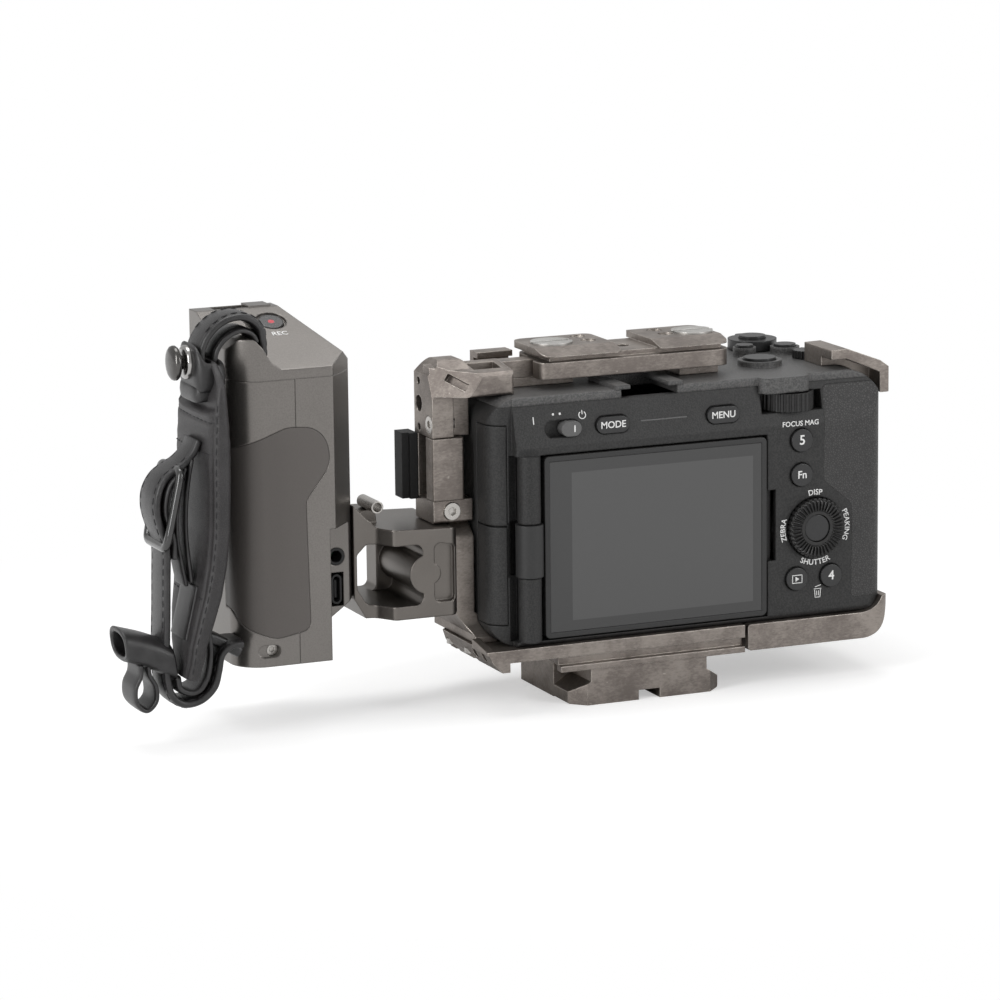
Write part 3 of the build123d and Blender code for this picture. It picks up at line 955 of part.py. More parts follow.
def handle_form(inset, low, high):
    """Upright prism of the handle's plan, with the port recess taken out of its right rear"""
    solid = across("z", handle_plan(inset), low, high)
    recess = across("y", outline([
        (HANDLE_RIGHT - PORT_W - inset, PORT_Z0 - 2.0 - inset, 0),
        (HANDLE_RIGHT + 5, PORT_Z0 - 2.0 - inset, 0),
        (HANDLE_RIGHT + 5, PORT_Z1 + inset, 0),
        (HANDLE_RIGHT - PORT_W - inset, PORT_Z1 + inset, 0),
    ]), HANDLE_BACK - 2, PORT_Y + inset)
    low_x = HANDLE_RIGHT - HANDLE_LOW_IN - inset
    corner = across("y", outline([
        (low_x, HANDLE_Z0 - 5, 0), (HANDLE_RIGHT + 5, HANDLE_Z0 - 5, 0),
        (HANDLE_RIGHT + 5, PORT_Z0 + 10.0 + inset, 0), (low_x, PORT_Z0 - 1.0 + inset, 0),
    ]), HANDLE_BACK - 2, HANDLE_FRONT + 2)
    return solid - recess - corner


grip_out = handle_form(0, HANDLE_Z0, HANDLE_SEAM_Z)
grip_in = handle_form(HANDLE_WALL, HANDLE_Z0 + HANDLE_WALL, HANDLE_SEAM_Z - HANDLE_WALL)
grip_shell = grip_out - grip_in

palm_view = outline([
    (HANDLE_LEFT + 3.7, HANDLE_Z0 + 66.6, 6.0), (HANDLE_LEFT + 16.0, HANDLE_Z0 + 71.0, 10.0),
    (HANDLE_RIGHT - 11.4, HANDLE_Z0 + 70.0, 8.0), (HANDLE_RIGHT - 9.6, HANDLE_Z0 + 59.0, 8.0),
    (HANDLE_RIGHT - 17.6, HANDLE_Z0 + 48.6, 5.0), (HANDLE_RIGHT - 16.8, HANDLE_Z0 + 10.0, 3.0),
    (HANDLE_LEFT + 11.0, HANDLE_Z0 + 8.0, 8.0), (HANDLE_LEFT + 1.8, HANDLE_Z0 + 12.0, 7.0),
    (HANDLE_LEFT - 1, HANDLE_Z0 + 20.0, 0),
    (HANDLE_LEFT - 1, HANDLE_Z0 + 64.6, 0),
])
palm_zone = across("y", palm_view, HANDLE_BACK - 1, HANDLE_BACK + 12.0)
palm_shell = grip_out - handle_form(PALM_T, HANDLE_Z0 - 1, HANDLE_SEAM_Z + 1)
palm = palm_shell & across("y", offset(palm_view, -FIT), HANDLE_BACK - 1, HANDLE_BACK + 12.0 - FIT)
keep("handle_palm_panel", palm)
grip_shell -= palm_shell & palm_zone

# screw recess, sockets for the ports, battery opening
boss_x, boss_z = HANDLE_LEFT + 10.6, HANDLE_Z0 + 4.6
grip_shell += rod("y", boss_x, HANDLE_BACK + 0.6, boss_z, 3.2, 6.0) & grip_out
grip_shell -= rod("y", boss_x, HANDLE_BACK - 1, boss_z, 1.9, 5.0)
grip_shell -= pill("y", boss_x - 1.4, boss_z, 6.8, 3.8, HANDLE_BACK - 1, HANDLE_BACK + 1.5)
jack_x, jack_z = HANDLE_RIGHT - 5.6, PORT_Z1 - 10.2
usb_x, usb_z = jack_x, PORT_Z0 + 9.4
grip_shell -= rod("y", jack_x, PORT_Y - 1, jack_z, 2.6 + FIT, 5.0)
grip_shell -= block(usb_x - USB_W / 2 - 0.6, usb_x + USB_W / 2 + 0.6, PORT_Y - 1, PORT_Y + 7.2,
                    usb_z - USB_H / 2 - 0.6, usb_z + USB_H / 2 + 0.6)
keep("handle_jack_socket", tube("y", jack_x, PORT_Y, jack_z, 2.6, JACK_R, 7.0))
usb = pill("y", 0, 0, USB_H, USB_W, PORT_Y, PORT_Y + 7.0)
usb_shell = Pos(usb_x, 0, usb_z) * (Rot(0, 90, 0) * usb)
usb_hole = pill("y", 0, 0, USB_H - 1.2, USB_W - 1.2, PORT_Y, PORT_Y + 6.0)
usb_shell -= Pos(usb_x, 0, usb_z) * (Rot(0, 90, 0) * usb_hole)
usb_half = USB_H / 2 - 1.8
usb_shell += block(usb_x - 0.4, usb_x + 0.4, PORT_Y + 1.0, PORT_Y + 6.4, usb_z - usb_half, usb_z + usb_half)
keep("handle_usb_socket", usb_shell)
for y in clip_ys:
    grip_shell -= rod("x", HANDLE_RIGHT - HANDLE_WALL - 1, y, clip_z, 1.5 + FIT, HANDLE_WALL + 2)

hatch_x0, hatch_x1 = HANDLE_LEFT + 5.0, HANDLE_RIGHT - HANDLE_LOW_IN - HANDLE_WALL - 1.0
hatch_y0, hatch_y1 = HANDLE_BACK + 17.0, HANDLE_FRONT - 5.0
grip_shell -= block(hatch_x0, hatch_x1, hatch_y0, hatch_y1, HANDLE_Z0 - 1, HANDLE_Z0 + HANDLE_WALL + 1)
split_gap = 0.12
outer_side = block(HANDLE_LEFT - 5, HANDLE_SPLIT_X - split_gap / 2, -FAR, FAR, 0, HANDLE_TOP)
inner_side = block(HANDLE_SPLIT_X + split_gap / 2, HANDLE_RIGHT + 5, -FAR, FAR, 0, HANDLE_TOP)
keep("handle_outer_shell", grip_shell & outer_side)
keep("handle_inner_shell", grip_shell & inner_side)

door_y1 = hatch_y1 - RUN
battery_door = block(hatch_x0 + RUN, hatch_x1 - RUN, hatch_y0 + RUN, door_y1,
                     HANDLE_Z0 - 0.6, HANDLE_Z0 - 0.6 + BATTERY_DOOR_T)
keep("handle_battery_door", battery_door)
cell_x = (hatch_x0 + hatch_x1) / 2
cell_y = (hatch_y0 + hatch_y1) / 2
keep("handle_battery", rod("z", cell_x, cell_y, HANDLE_Z0 + BATTERY_DOOR_T - 0.6 + RUN, CELL_R, CELL_L))
board_y = PORT_Y + 7.0 + FIT
keep("handle_circuit_board", block(HANDLE_SPLIT_X + 8.0, HANDLE_RIGHT - HANDLE_WALL - FIT, board_y, board_y + 1.6,
                                   PORT_Z0 + 10.0, PORT_Z1 + 22.0))
keep("handle_shell_screws",
     cap_screw(boss_x, HANDLE_BACK + 4.0, boss_z, (0, 1, 0), 1.4, 1.8, 1.4, 2.4))
parts["handle_outer_shell"][0] -= rod("y", boss_x, HANDLE_BACK, boss_z, 1.4 + SHAFT_FIT, 7.0)

# top cap: its roof climbs towards the front, with a bevel down to the right
cap_roof = outline([
    (HANDLE_BACK, HANDLE_SEAM_Z, 0), (HANDLE_FRONT, HANDLE_SEAM_Z, 0), (HANDLE_FRONT, HANDLE_TOP, 2.0),
    (HANDLE_FRONT - 8.0, HANDLE_TOP, 1.5), (HANDLE_BACK, HANDLE_SEAM_Z + CAP_SKIRT, 0.6),
])
cap_prism = across("z", handle_plan(0), HANDLE_SEAM_Z, HANDLE_TOP)
top_solid = cap_prism & across("x", cap_roof, HANDLE_LEFT, HANDLE_RIGHT)
right_bevel = across("y", outline([
    (HANDLE_LEFT - 1, HANDLE_SEAM_Z - 1, 0), (HANDLE_RIGHT + 1, HANDLE_SEAM_Z - 1, 0),
    (HANDLE_RIGHT + 1, HANDLE_TOP - 14.6, 0), (HANDLE_RIGHT - 14.4, HANDLE_TOP + 1, 0),
    (HANDLE_LEFT - 1, HANDLE_TOP + 1, 0),
]), HANDLE_BACK - 1, HANDLE_FRONT + 1)
top_solid &= right_bevel
hollow_top = HANDLE_TOP - HANDLE_WALL * 2.0
cap_hollow_roof = outline([
    (HANDLE_BACK + HANDLE_WALL + 3, HANDLE_SEAM_Z - 1, 0), (HANDLE_FRONT - HANDLE_WALL, HANDLE_SEAM_Z - 1, 0),
    (HANDLE_FRONT - HANDLE_WALL, hollow_top, 0), (HANDLE_FRONT - 9.0, hollow_top, 0),
])
cap_hollow = across("z", handle_plan(HANDLE_WALL), HANDLE_SEAM_Z - 1, HANDLE_TOP)
cap_hollow &= across("x", cap_hollow_roof, HANDLE_LEFT, HANDLE_RIGHT)
cap_hollow &= Pos(-HANDLE_WALL, 0, -HANDLE_WALL) * right_bevel
top_cap = top_solid - cap_hollow
roof_slope = (CAP_H - CAP_SKIRT) / (HANDLE_D - 8.0)


def roof_z(y):
    """Height of the cap's sloped roof"""
    return HANDLE_SEAM_Z + CAP_SKIRT + roof_slope * (y - HANDLE_BACK)


rec_x, rec_y = HANDLE_LEFT + 20.7, HANDLE_BACK + 24.8
rec_seat = Plane((rec_x, rec_y, roof_z(rec_y)), x_dir=(1, 0, 0), z_dir=(0, -roof_slope, 1))
top_cap += extrude(rec_seat * Circle(REC_R + 2.6), -5.0) & top_solid
top_cap -= extrude(rec_seat * Circle(REC_DISH_R), -REC_DISH_D, both=True)
top_cap -= extrude(rec_seat * Circle(REC_R + RUN), -8.0)
keep("handle_rec_button", extrude(rec_seat.offset(-4.6) * Circle(REC_R), 4.4))

# strap slot near the cap's left rear, and a low ledge at its front
STRAP_SLOT_T = 3.2
strap_slot_x = HANDLE_LEFT + 10.2
TOP_BAND_W = 12.0
strap_y0 = HANDLE_BACK + 1.7
strap_y1 = strap_y0 + TOP_BAND_W
strap_mid_y = (strap_y0 + strap_y1) / 2 - 1.2
slot_half = STRAP_SLOT_T / 2
bar_front = strap_y1 + 2.0
top_cap += block(strap_slot_x - 3.5, strap_slot_x + 3.5, HANDLE_BACK + 1.0, bar_front, HANDLE_SEAM_Z, HANDLE_TOP) & top_solid
# the shoulder that the strap wraps over, scooped down to the roof's rim on its right
shoulder = across("y", outline([
    (HANDLE_LEFT, HANDLE_SEAM_Z, 0), (HANDLE_LEFT + 16.5, HANDLE_SEAM_Z, 0), (HANDLE_LEFT + 14.1, HANDLE_SEAM_Z + 3.3, 0),
    (HANDLE_LEFT + 11.2, HANDLE_SEAM_Z + 5.6, 0), (HANDLE_LEFT + 9.0, HANDLE_SEAM_Z + 9.6, 0),
    (HANDLE_LEFT + 6.4, HANDLE_SEAM_Z + 12.3, 1.2), (HANDLE_LEFT + 2.4, HANDLE_SEAM_Z + 12.3, 1.2),
    (HANDLE_LEFT, HANDLE_SEAM_Z + 9.0, 0),
]), HANDLE_BACK, bar_front)
top_cap += shoulder & cap_prism
top_cap -= block(strap_slot_x - slot_half, strap_slot_x + slot_half, strap_y0 - SOFT_GAP, strap_y1 + SOFT_GAP,
                 HANDLE_SEAM_Z + 0.8, HANDLE_TOP)
ledge_x0, ledge_x1 = HANDLE_LEFT + 16.6, HANDLE_LEFT + 23.4
top_cap -= block(HANDLE_LEFT + 6.0, ledge_x0, HANDLE_FRONT - 7.0, HANDLE_FRONT - 2.0, HANDLE_TOP - 1.4, HANDLE_TOP + 1)
top_cap += block(ledge_x0, ledge_x1, HANDLE_FRONT - 8.0, HANDLE_FRONT - 1.0, HANDLE_TOP - 0.5, HANDLE_TOP + 0.5)
keep("handle_top_cap", top_cap)

# ------------------------------------------------------------------ strap
def ribbon(points, thickness, y0, y1):
    """Flat band of one thickness whose middle line is an arc-cornered path in X and Z"""
    radii = [radius for _, _, radius in points[1:-1]]
    path = FilletPolyline(*[(x, z) for x, z, _ in points], radius=radii)
    return across("y", trace(path, thickness), y0, y1)


pad_y1 = PAD_BACK + PAD_W
neck_y0, neck_y1 = strap_mid_y - NECK_W / 2, strap_mid_y + NECK_W / 2
neck_low, neck_top = HANDLE_Z0 + 82.4, HANDLE_Z0 + 93.0
pad_outer = [(HANDLE_LEFT - out, HANDLE_Z0 + up) for out, up in (
    (8.4, 92.4), (9.4, 82.0), (11.4, 65.0), (11.9, 43.0), (14.8, 25.0), (18.6, 10.0), (19.4, 0.4))]
pad_inner = [(HANDLE_LEFT - out, HANDLE_Z0 + up) for out, up in (
    (5.5, 92.4), (6.0, 82.0), (4.6, 68.0), (5.4, 43.0), (8.4, 25.0), (13.6, 10.0), (15.6, 0.4))]
pad_edge = Spline(*pad_outer) + Line(pad_outer[-1], pad_inner[-1])
pad_edge += Spline(*reversed(pad_inner)) + Line(pad_inner[0], pad_outer[0])
pad_face = make_face(pad_edge)
pad_side = outline([
    (PAD_BACK, HANDLE_Z0, 4.0), (PAD_BACK + 20.0, HANDLE_Z0, 4.0), (pad_y1, HANDLE_Z0 + 30.0, 16.0),
    (pad_y1, HANDLE_Z0 + 77.0, 6.0), (neck_y1, neck_low, 2.0), (neck_y1, neck_top, 0),
    (neck_y0, neck_top, 0), (neck_y0, neck_low, 2.0), (PAD_BACK, HANDLE_Z0 + 77.0, 6.0),
])
pad = across("y", pad_face, PAD_BACK, pad_y1) & across("x", pad_side, HANDLE_LEFT - FAR, HANDLE_LEFT)
keep("strap_hand_pad", pad)

band_start_x = (pad_outer[0][0] + pad_inner[0][0]) / 2
keep("strap_top_band", ribbon([
    (band_start_x, neck_top - 0.2, 0), (band_start_x, neck_top + 3.6, 2.4),
    (HANDLE_LEFT - 1.6, neck_top + 7.4, 6.0), (HANDLE_LEFT + 5.4, neck_top + 9.6, 4.0),
    (strap_slot_x + 0.4, neck_top + 6.6, 3.0), (strap_slot_x, HANDLE_SEAM_Z + 1.0, 0),
], BAND_T, strap_y0, strap_y1))

keeper_z0, keeper_z1 = neck_low + 1.0, neck_top + 0.2
keeper_y0 = neck_y0 - SOFT_GAP - KEEPER_T
keeper_y1 = neck_y1 + SOFT_GAP + KEEPER_T
keeper_x0, keeper_x1 = pad_outer[1][0] - SOFT_GAP - KEEPER_T, pad_inner[0][0] + SOFT_GAP + KEEPER_T
wrap = block(keeper_x0, keeper_x1, keeper_y0, keeper_y1, keeper_z0, keeper_z1)
wrap = fillet(wrap.edges().filter_by(Axis.Z), 1.4)
wrap -= block(keeper_x0 + KEEPER_T, keeper_x1 - KEEPER_T, neck_y0 - SOFT_GAP, neck_y1 + SOFT_GAP,
              keeper_z0 - 1, keeper_z1 + 1)
keep("strap_top_keeper", wrap)
stud_z = neck_top - 2.2
stud = rod("x", keeper_x0 - 1.6, strap_mid_y, stud_z, STUD_R - 0.9, 1.6)
stud += rod("x", keeper_x0 - 6.0, strap_mid_y, stud_z, 2.4, 4.6)
stud += rod("x", keeper_x0 - 7.6, strap_mid_y, stud_z, STUD_R, 1.8)
keep("strap_stud", stud)

band_y0 = PAD_BACK + 7.5
band_y1 = band_y0 + BAND_W
keep("strap_tension_band", ribbon([
    (HANDLE_LEFT - SOFT_GAP, HANDLE_Z0 + 8.6, 0),
    *[(HANDLE_LEFT - out, HANDLE_Z0 + up, radius) for out, up, radius in (
        (8.4, 7.4, 5.0), (9.6, -4.0, 7.0), (16.6, -9.4, 7.0), (23.9, -6.0, 5.0), (23.9, 13.0, 30.0),
        (23.0, 37.0, 14.0), (26.4, 49.0, 8.0), (22.8, 60.6, 4.0), (16.2, 58.4, 4.0), (15.1, 40.0, 30.0),
        (16.7, 24.0, 0))],
], BAND_T, band_y0, band_y1))
RING_BAR = 2.4
ring_x, ring_z0, ring_z1 = HANDLE_LEFT - 21.3, HANDLE_Z0 + 40.6, HANDLE_Z0 + 56.4
ring_y0 = band_y0 - SOFT_GAP - RING_BAR
ring_y1 = band_y1 + SOFT_GAP + RING_BAR
buckle = block(ring_x - RING_BAR / 2, ring_x + RING_BAR / 2, ring_y0, ring_y1, ring_z0, ring_z1)
buckle = fillet(buckle.edges().filter_by(Axis.X), 2.0)
buckle -= block(ring_x - RING_BAR, ring_x + RING_BAR, band_y0 - SOFT_GAP, band_y1 + SOFT_GAP,
                ring_z0 + RING_BAR, ring_z1 - RING_BAR)
keep("strap_buckle", buckle)
low_x0, low_x1 = HANDLE_LEFT - 35.4, HANDLE_LEFT - 20.6
low_z0, low_z1 = HANDLE_Z0 - 4.0, HANDLE_Z0 + 8.6
loop = block(low_x0, low_x1, band_y0 - SOFT_GAP - KEEPER_T, band_y1 + SOFT_GAP + KEEPER_T, low_z0, low_z1)
loop = fillet(loop.edges().filter_by(Axis.Z), 1.4)
for x, z, r in ((low_x0 - 0.4, low_z1 - 0.2, 3.8), (low_x0 + 3.7, low_z0, 4.6)):
    loop += rod("y", x, band_y0 - 1.0, z, r, BAND_W + 2.0)
    loop -= rod("y", x, band_y0 - 3.0, z, r - KEEPER_T, BAND_W + 6.0)
loop -= block(low_x0 + KEEPER_T + 6.6, low_x1 - 1.5, band_y0 - SOFT_GAP, band_y1 + SOFT_GAP, low_z0 - 1, low_z1 + 1)
keep("strap_bottom_keeper", loop)

os.makedirs("parts", exist_ok=True)
for name, solids in parts.items():
    shapes = [piece for solid in solids for piece in solid.solids()]
    export_step(Compound(children=shapes), f"parts/{name}.step")
    print(f"{name:26s} {len(shapes):3d} solids {sum(s.volume for s in shapes):10.0f} mm3")
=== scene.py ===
import math
import bpy
import numpy as np
from mathutils import Matrix, Vector


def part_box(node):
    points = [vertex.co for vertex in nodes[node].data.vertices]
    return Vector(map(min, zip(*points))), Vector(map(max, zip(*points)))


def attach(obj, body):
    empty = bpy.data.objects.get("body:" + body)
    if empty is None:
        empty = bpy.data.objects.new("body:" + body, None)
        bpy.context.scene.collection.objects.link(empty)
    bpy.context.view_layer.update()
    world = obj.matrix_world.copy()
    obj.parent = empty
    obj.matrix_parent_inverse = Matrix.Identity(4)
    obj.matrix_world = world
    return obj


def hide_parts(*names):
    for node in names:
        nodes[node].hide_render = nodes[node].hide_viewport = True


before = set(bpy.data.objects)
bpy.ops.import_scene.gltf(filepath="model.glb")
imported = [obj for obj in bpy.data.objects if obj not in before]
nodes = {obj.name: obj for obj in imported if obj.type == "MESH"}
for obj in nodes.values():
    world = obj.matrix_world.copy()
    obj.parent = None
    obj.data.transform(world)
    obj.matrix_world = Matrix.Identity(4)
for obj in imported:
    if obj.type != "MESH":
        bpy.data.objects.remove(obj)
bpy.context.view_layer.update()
MM = 0.001

# Studio: a pale table under the rig and plain white light all round.
# A wide soft box hangs above, two narrow ones stand left and right, and a long lens looks from the back left.
turn, dip, roll = math.radians(23.06158), math.radians(11.43771), math.radians(-0.65706)
ahead = Vector((math.sin(turn) * math.cos(dip), math.cos(turn) * math.cos(dip), -math.sin(dip)))
level = Vector((math.cos(turn), -math.sin(turn), 0.0))
upright = level.cross(ahead)
across = level * math.cos(roll) + upright * math.sin(roll)
upward = upright * math.cos(roll) - level * math.sin(roll)
lens = bpy.data.cameras.new("camera")
lens.lens, lens.sensor_width = 162.0, 36.0
lens.clip_start, lens.clip_end = 0.05, 50.0
viewer = bpy.data.objects.new("camera", lens)
viewpoint = Vector((-558.522, -1220.497, 329.072)) * MM
viewer.matrix_world = Matrix.Translation(viewpoint) @ Matrix((across, upward, -ahead)).transposed().to_4x4()
bpy.context.scene.collection.objects.link(viewer)
bpy.context.scene.camera = viewer
bpy.context.scene.view_settings.view_transform = "Standard"


def soft_box(name, place, target, width, height, power):
    """Rectangular lamp at one point, its face turned to a second point"""
    lamp = bpy.data.lights.new(name, "AREA")
    lamp.shape = "RECTANGLE"
    lamp.size, lamp.size_y, lamp.energy = width, height, power
    stand = bpy.data.objects.new(name, lamp)
    stand.location = place
    stand.rotation_euler = (Vector(target) - Vector(place)).to_track_quat("-Z", "Y").to_euler()
    bpy.context.scene.collection.objects.link(stand)


soft_box("light_top", (-0.05, 0.22, 1.05), (-0.03, 0.0, 0.05), 0.8, 0.5, 4.8)
soft_box("light_left", (-1.05, -0.40, 0.50), (-0.03, 0.0, 0.06), 0.30, 0.8, 6.5)
soft_box("light_right", (0.80, -0.95, 0.55), (0.02, 0.0, 0.06), 0.30, 0.7, 4.5)

room_light = 0.42
mirrored_white = 0.45
world = bpy.data.worlds.new("studio")
bpy.context.scene.world = world
world.use_nodes = True
sky = world.node_tree
sky.nodes["Background"].inputs["Color"].default_value = (1.0, 1.0, 1.0, 1.0)
sky.nodes["Background"].inputs["Strength"].default_value = room_light
open_white = sky.nodes.new("ShaderNodeBackground")
open_white.inputs["Strength"].default_value = 1.0
ray = sky.nodes.new("ShaderNodeLightPath")
shiny = sky.nodes.new("ShaderNodeMath")
shiny.operation = "MULTIPLY"
shiny.inputs[1].default_value = mirrored_white
either = sky.nodes.new("ShaderNodeMath")
either.operation = "MAXIMUM"
chosen = sky.nodes.new("ShaderNodeMixShader")
for start, end in ((ray.outputs["Is Glossy Ray"], shiny.inputs[0]), (ray.outputs["Is Camera Ray"], either.inputs[0]),
                   (shiny.outputs[0], either.inputs[1]), (either.outputs[0], chosen.inputs[0]),
                   (sky.nodes["Background"].outputs[0], chosen.inputs[1]), (open_white.outputs[0], chosen.inputs[2]),
                   (chosen.outputs[0], sky.nodes["World Output"].inputs["Surface"])):
    sky.links.new(start, end)

# The table shows as plain white to the camera and in mirror finishes away from the rig.
# Near the rig it keeps the rig's shadow.
table_half = 6.0
table_lift = 0.42
fade_from, fade_to = 0.04, 0.28
table = bpy.data.meshes.new("table")
table.from_pydata([(-table_half, -table_half, 0), (table_half, -table_half, 0), (table_half, table_half, 0),
                   (-table_half, table_half, 0)], [], [(0, 1, 2, 3)])
floor = bpy.data.objects.new("table", table)
bpy.context.scene.collection.objects.link(floor)
white = bpy.data.materials.new("table_white")
white.use_nodes = True
sheet = white.node_tree
paper = sheet.nodes["Principled BSDF"]
paper.inputs["Base Color"].default_value = (0.80, 0.80, 0.80, 1)
paper.inputs["Roughness"].default_value = 0.9
paper.inputs["Specular IOR Level"].default_value = 0.0
lift = sheet.nodes.new("ShaderNodeEmission")
open_floor = sheet.nodes.new("ShaderNodeEmission")
open_floor.inputs["Strength"].default_value = 1.0
seen = sheet.nodes.new("ShaderNodeLightPath")
both = sheet.nodes.new("ShaderNodeAddShader")
fade = sheet.nodes.new("ShaderNodeMixShader")
amount = sheet.nodes.new("ShaderNodeMath")
amount.operation = "MULTIPLY"
amount.inputs[1].default_value = table_lift
place = sheet.nodes.new("ShaderNodeTexCoord")
reach = sheet.nodes.new("ShaderNodeVectorMath")
reach.operation = "LENGTH"
far_off = sheet.nodes.new("ShaderNodeMapRange")
far_off.interpolation_type = "SMOOTHSTEP"
far_off.inputs["From Min"].default_value = fade_from
far_off.inputs["From Max"].default_value = fade_to
white_rays = sheet.nodes.new("ShaderNodeMath")
white_rays.operation = "MAXIMUM"
share = sheet.nodes.new("ShaderNodeMath")
share.operation = "MULTIPLY"
for start, end in ((seen.outputs["Is Camera Ray"], amount.inputs[0]), (amount.outputs[0], lift.inputs["Strength"]),
                   (paper.outputs[0], both.inputs[0]), (lift.outputs[0], both.inputs[1]),
                   (place.outputs["Object"], reach.inputs[0]), (reach.outputs["Value"], far_off.inputs["Value"]),
                   (seen.outputs["Is Camera Ray"], white_rays.inputs[0]),
                   (seen.outputs["Is Glossy Ray"], white_rays.inputs[1]),
                   (far_off.outputs[0], share.inputs[0]), (white_rays.outputs[0], share.inputs[1]),
                   (share.outputs[0], fade.inputs[0]), (both.outputs[0], fade.inputs[1]),
                   (open_floor.outputs[0], fade.inputs[2]),
                   (fade.outputs[0], sheet.nodes["Material Output"].inputs["Surface"])):
    sheet.links.new(start, end)
table.materials.append(white)


# Dovetail foot, base plate and right bracket: machined aluminium, tumbled and anodised titanium grey.
# Handling has rubbed the edges bright and left short marks along the flats.
class Value:
    """A number or vector that changes over a surface; arithmetic on it adds Math nodes"""

    def __init__(self, finish, socket):
        self.finish, self.socket = finish, socket

    def math(self, operation, *terms):
        return self.finish.node("ShaderNodeMath", {"operation": operation}, dict(enumerate(terms)))

    def __add__(self, other):
        return self.math("ADD", self, other)

    def __sub__(self, other):
        return self.math("SUBTRACT", self, other)

    def __rsub__(self, other):
        return self.math("SUBTRACT", other, self)

    def __mul__(self, other):
        return self.math("MULTIPLY", self, other)

    __radd__ = __add__


class Finish:
    """One material; node() adds any node and returns what it gives out"""

    def __init__(self, name, colour, **fixed):
        self.material = bpy.data.materials.new(name)
        self.material.use_nodes = True
        self.tree = self.material.node_tree
        self.shader = self.tree.nodes["Principled BSDF"]
        self.paint(Base_Color=(*colour, 1.0), **fixed)
        self.spot = self.node("ShaderNodeTexCoord", output="Object")

    def feed(self, socket, value):
        """Links a Value to a socket, or writes a plain number or colour on it"""
        if isinstance(value, Value):
            self.tree.links.new(value.socket, socket)
        else:
            socket.default_value = value

    def node(self, kind, settings=None, inputs=None, output=0):
        """Adds a node, sets its options, then feeds its sockets"""
        made = self.tree.nodes.new(kind)
        for key, setting in (settings or {}).items():
            setattr(made, key, setting)
        for key, value in (inputs or {}).items():
            self.feed(made.inputs[key], value)
        return Value(self, made.outputs[output])

    def paint(self, **sockets):
        """Feeds the shader's own sockets, named with _ for a space"""
        for key, value in sockets.items():
            self.feed(self.shader.inputs[key.replace("_", " ")], value)

    def noise(self, scale, detail=3.0, stretch=(1, 1, 1), rough=0.55):
        """Cloudy value about 0.5 whose lumps are 1/scale metres, drawn out along an axis by stretch"""
        where = self.node("ShaderNodeMapping", None, {"Vector": self.spot, "Scale": stretch})
        return self.node("ShaderNodeTexNoise", None,
                         {"Vector": where, "Scale": scale, "Detail": detail, "Roughness": rough})

    def mix(self, first, second, share):
        """Colour that goes from the first to the second as share goes from 0 to 1"""
        first, second = ((*c, 1.0) if isinstance(c, tuple) else c for c in (first, second))
        return self.node("ShaderNodeMix", {"data_type": "RGBA"}, {0: share, 6: first, 7: second}, output=2)

    def step(self, value, low, high):
        """0 below low, 1 above high, smooth between them"""
        return self.node("ShaderNodeMapRange", {"interpolation_type": "SMOOTHSTEP"},
                         {"Value": value, "From Min": low, "From Max": high})

    def cells(self, scale, low, high):
        """1 inside the cells of a Voronoi pattern and 0 along their edges, the cells being 1/scale metres wide"""
        return self.step(self.node("ShaderNodeTexVoronoi", {"feature": "DISTANCE_TO_EDGE"},
                                   {"Vector": self.spot, "Scale": scale}), low, high)

    def rounded(self, radius):
        """Normal of the surface with its corners eased by the radius in metres"""
        return self.node("ShaderNodeBevel", {"samples": 6}, {"Radius": radius})

    def rubbed(self, eased):
        """1 along the corners and 0 on the flats, from how far the eased normal leans"""
        plain = self.node("ShaderNodeNewGeometry", output="Normal")
        lean = self.node("ShaderNodeVectorMath", {"operation": "DOT_PRODUCT"}, {0: eased, 1: plain}, output="Value")
        return self.step(1.0 - lean, 0.02, 0.16)

    def bump(self, height, depth, normal=None, strength=1.0):
        """Normal bent by a height that swings over depth metres"""
        inputs = {"Height": height, "Distance": depth, "Strength": strength}
        if normal is not None:
            inputs["Normal"] = normal
        return self.node("ShaderNodeBump", None, inputs)


def dress(finish, *names):
    """Puts a finish on the solids as they are"""
    for name in names:
        if not nodes[name].material_slots:
            nodes[name].data.materials.append(finish.material)
        for mesh_slot in nodes[name].material_slots:
            mesh_slot.material = finish.material


def machined(name, dark, pale, bright, ease=0.0005, grain=(1.0, 2.4, 2.4)):
    """Tumbled metal: cloudy tone, fine short marks, a few nicks and corners rubbed to the bare metal"""
    f = Finish(name, dark, Metallic=1.0)
    eased = f.rounded(ease)
    cloud = f.noise(85.0, 6.0, rough=0.62)
    marks = f.noise(700.0, 6.0, grain, 0.68)
    speck = f.noise(3200.0, 2.0)
    nicks = f.step(f.noise(330.0, 2.0, (1.0, 5.0, 2.0)), 0.70, 0.76)
    tone = f.step(cloud * 0.6 + marks * 0.4, 0.38, 0.62)
    worn = f.rubbed(eased) * f.step(f.noise(420.0, 4.0), 0.30, 0.58)
    ground = f.mix(f.mix(dark, pale, tone), bright, nicks * 0.35)
    f.paint(Base_Color=f.mix(ground, bright, worn * 0.8),
            Roughness=0.34 + speck * 0.10 + marks * 0.14 - worn * 0.12,
            Normal=f.bump(marks * 0.6 + cloud * 0.4, 0.00008, eased, 0.5))
    return f


cage_grey = machined("cage_grey", (0.190, 0.166, 0.151), (0.330, 0.296, 0.268), (0.68, 0.63, 0.57))
dress(cage_grey, "dovetail_foot", "cage_base_plate", "cage_right_bracket")


def speckled(name, plain, dark, pale, grain, rough, depth, ease, strength=0.5, **fixed):
    """Finish whose tone, gloss and fine relief follow one speckle; grain is its scale and detail, rough the
    roughness where it is 0 and what is added where it is 1"""
    f = Finish(name, plain, **fixed)
    speck = f.noise(*grain)
    f.paint(Base_Color=f.mix(dark, pale, speck), Roughness=rough[0] + speck * rough[1],
            Normal=f.bump(speck, depth, f.rounded(ease), strength))
    return f


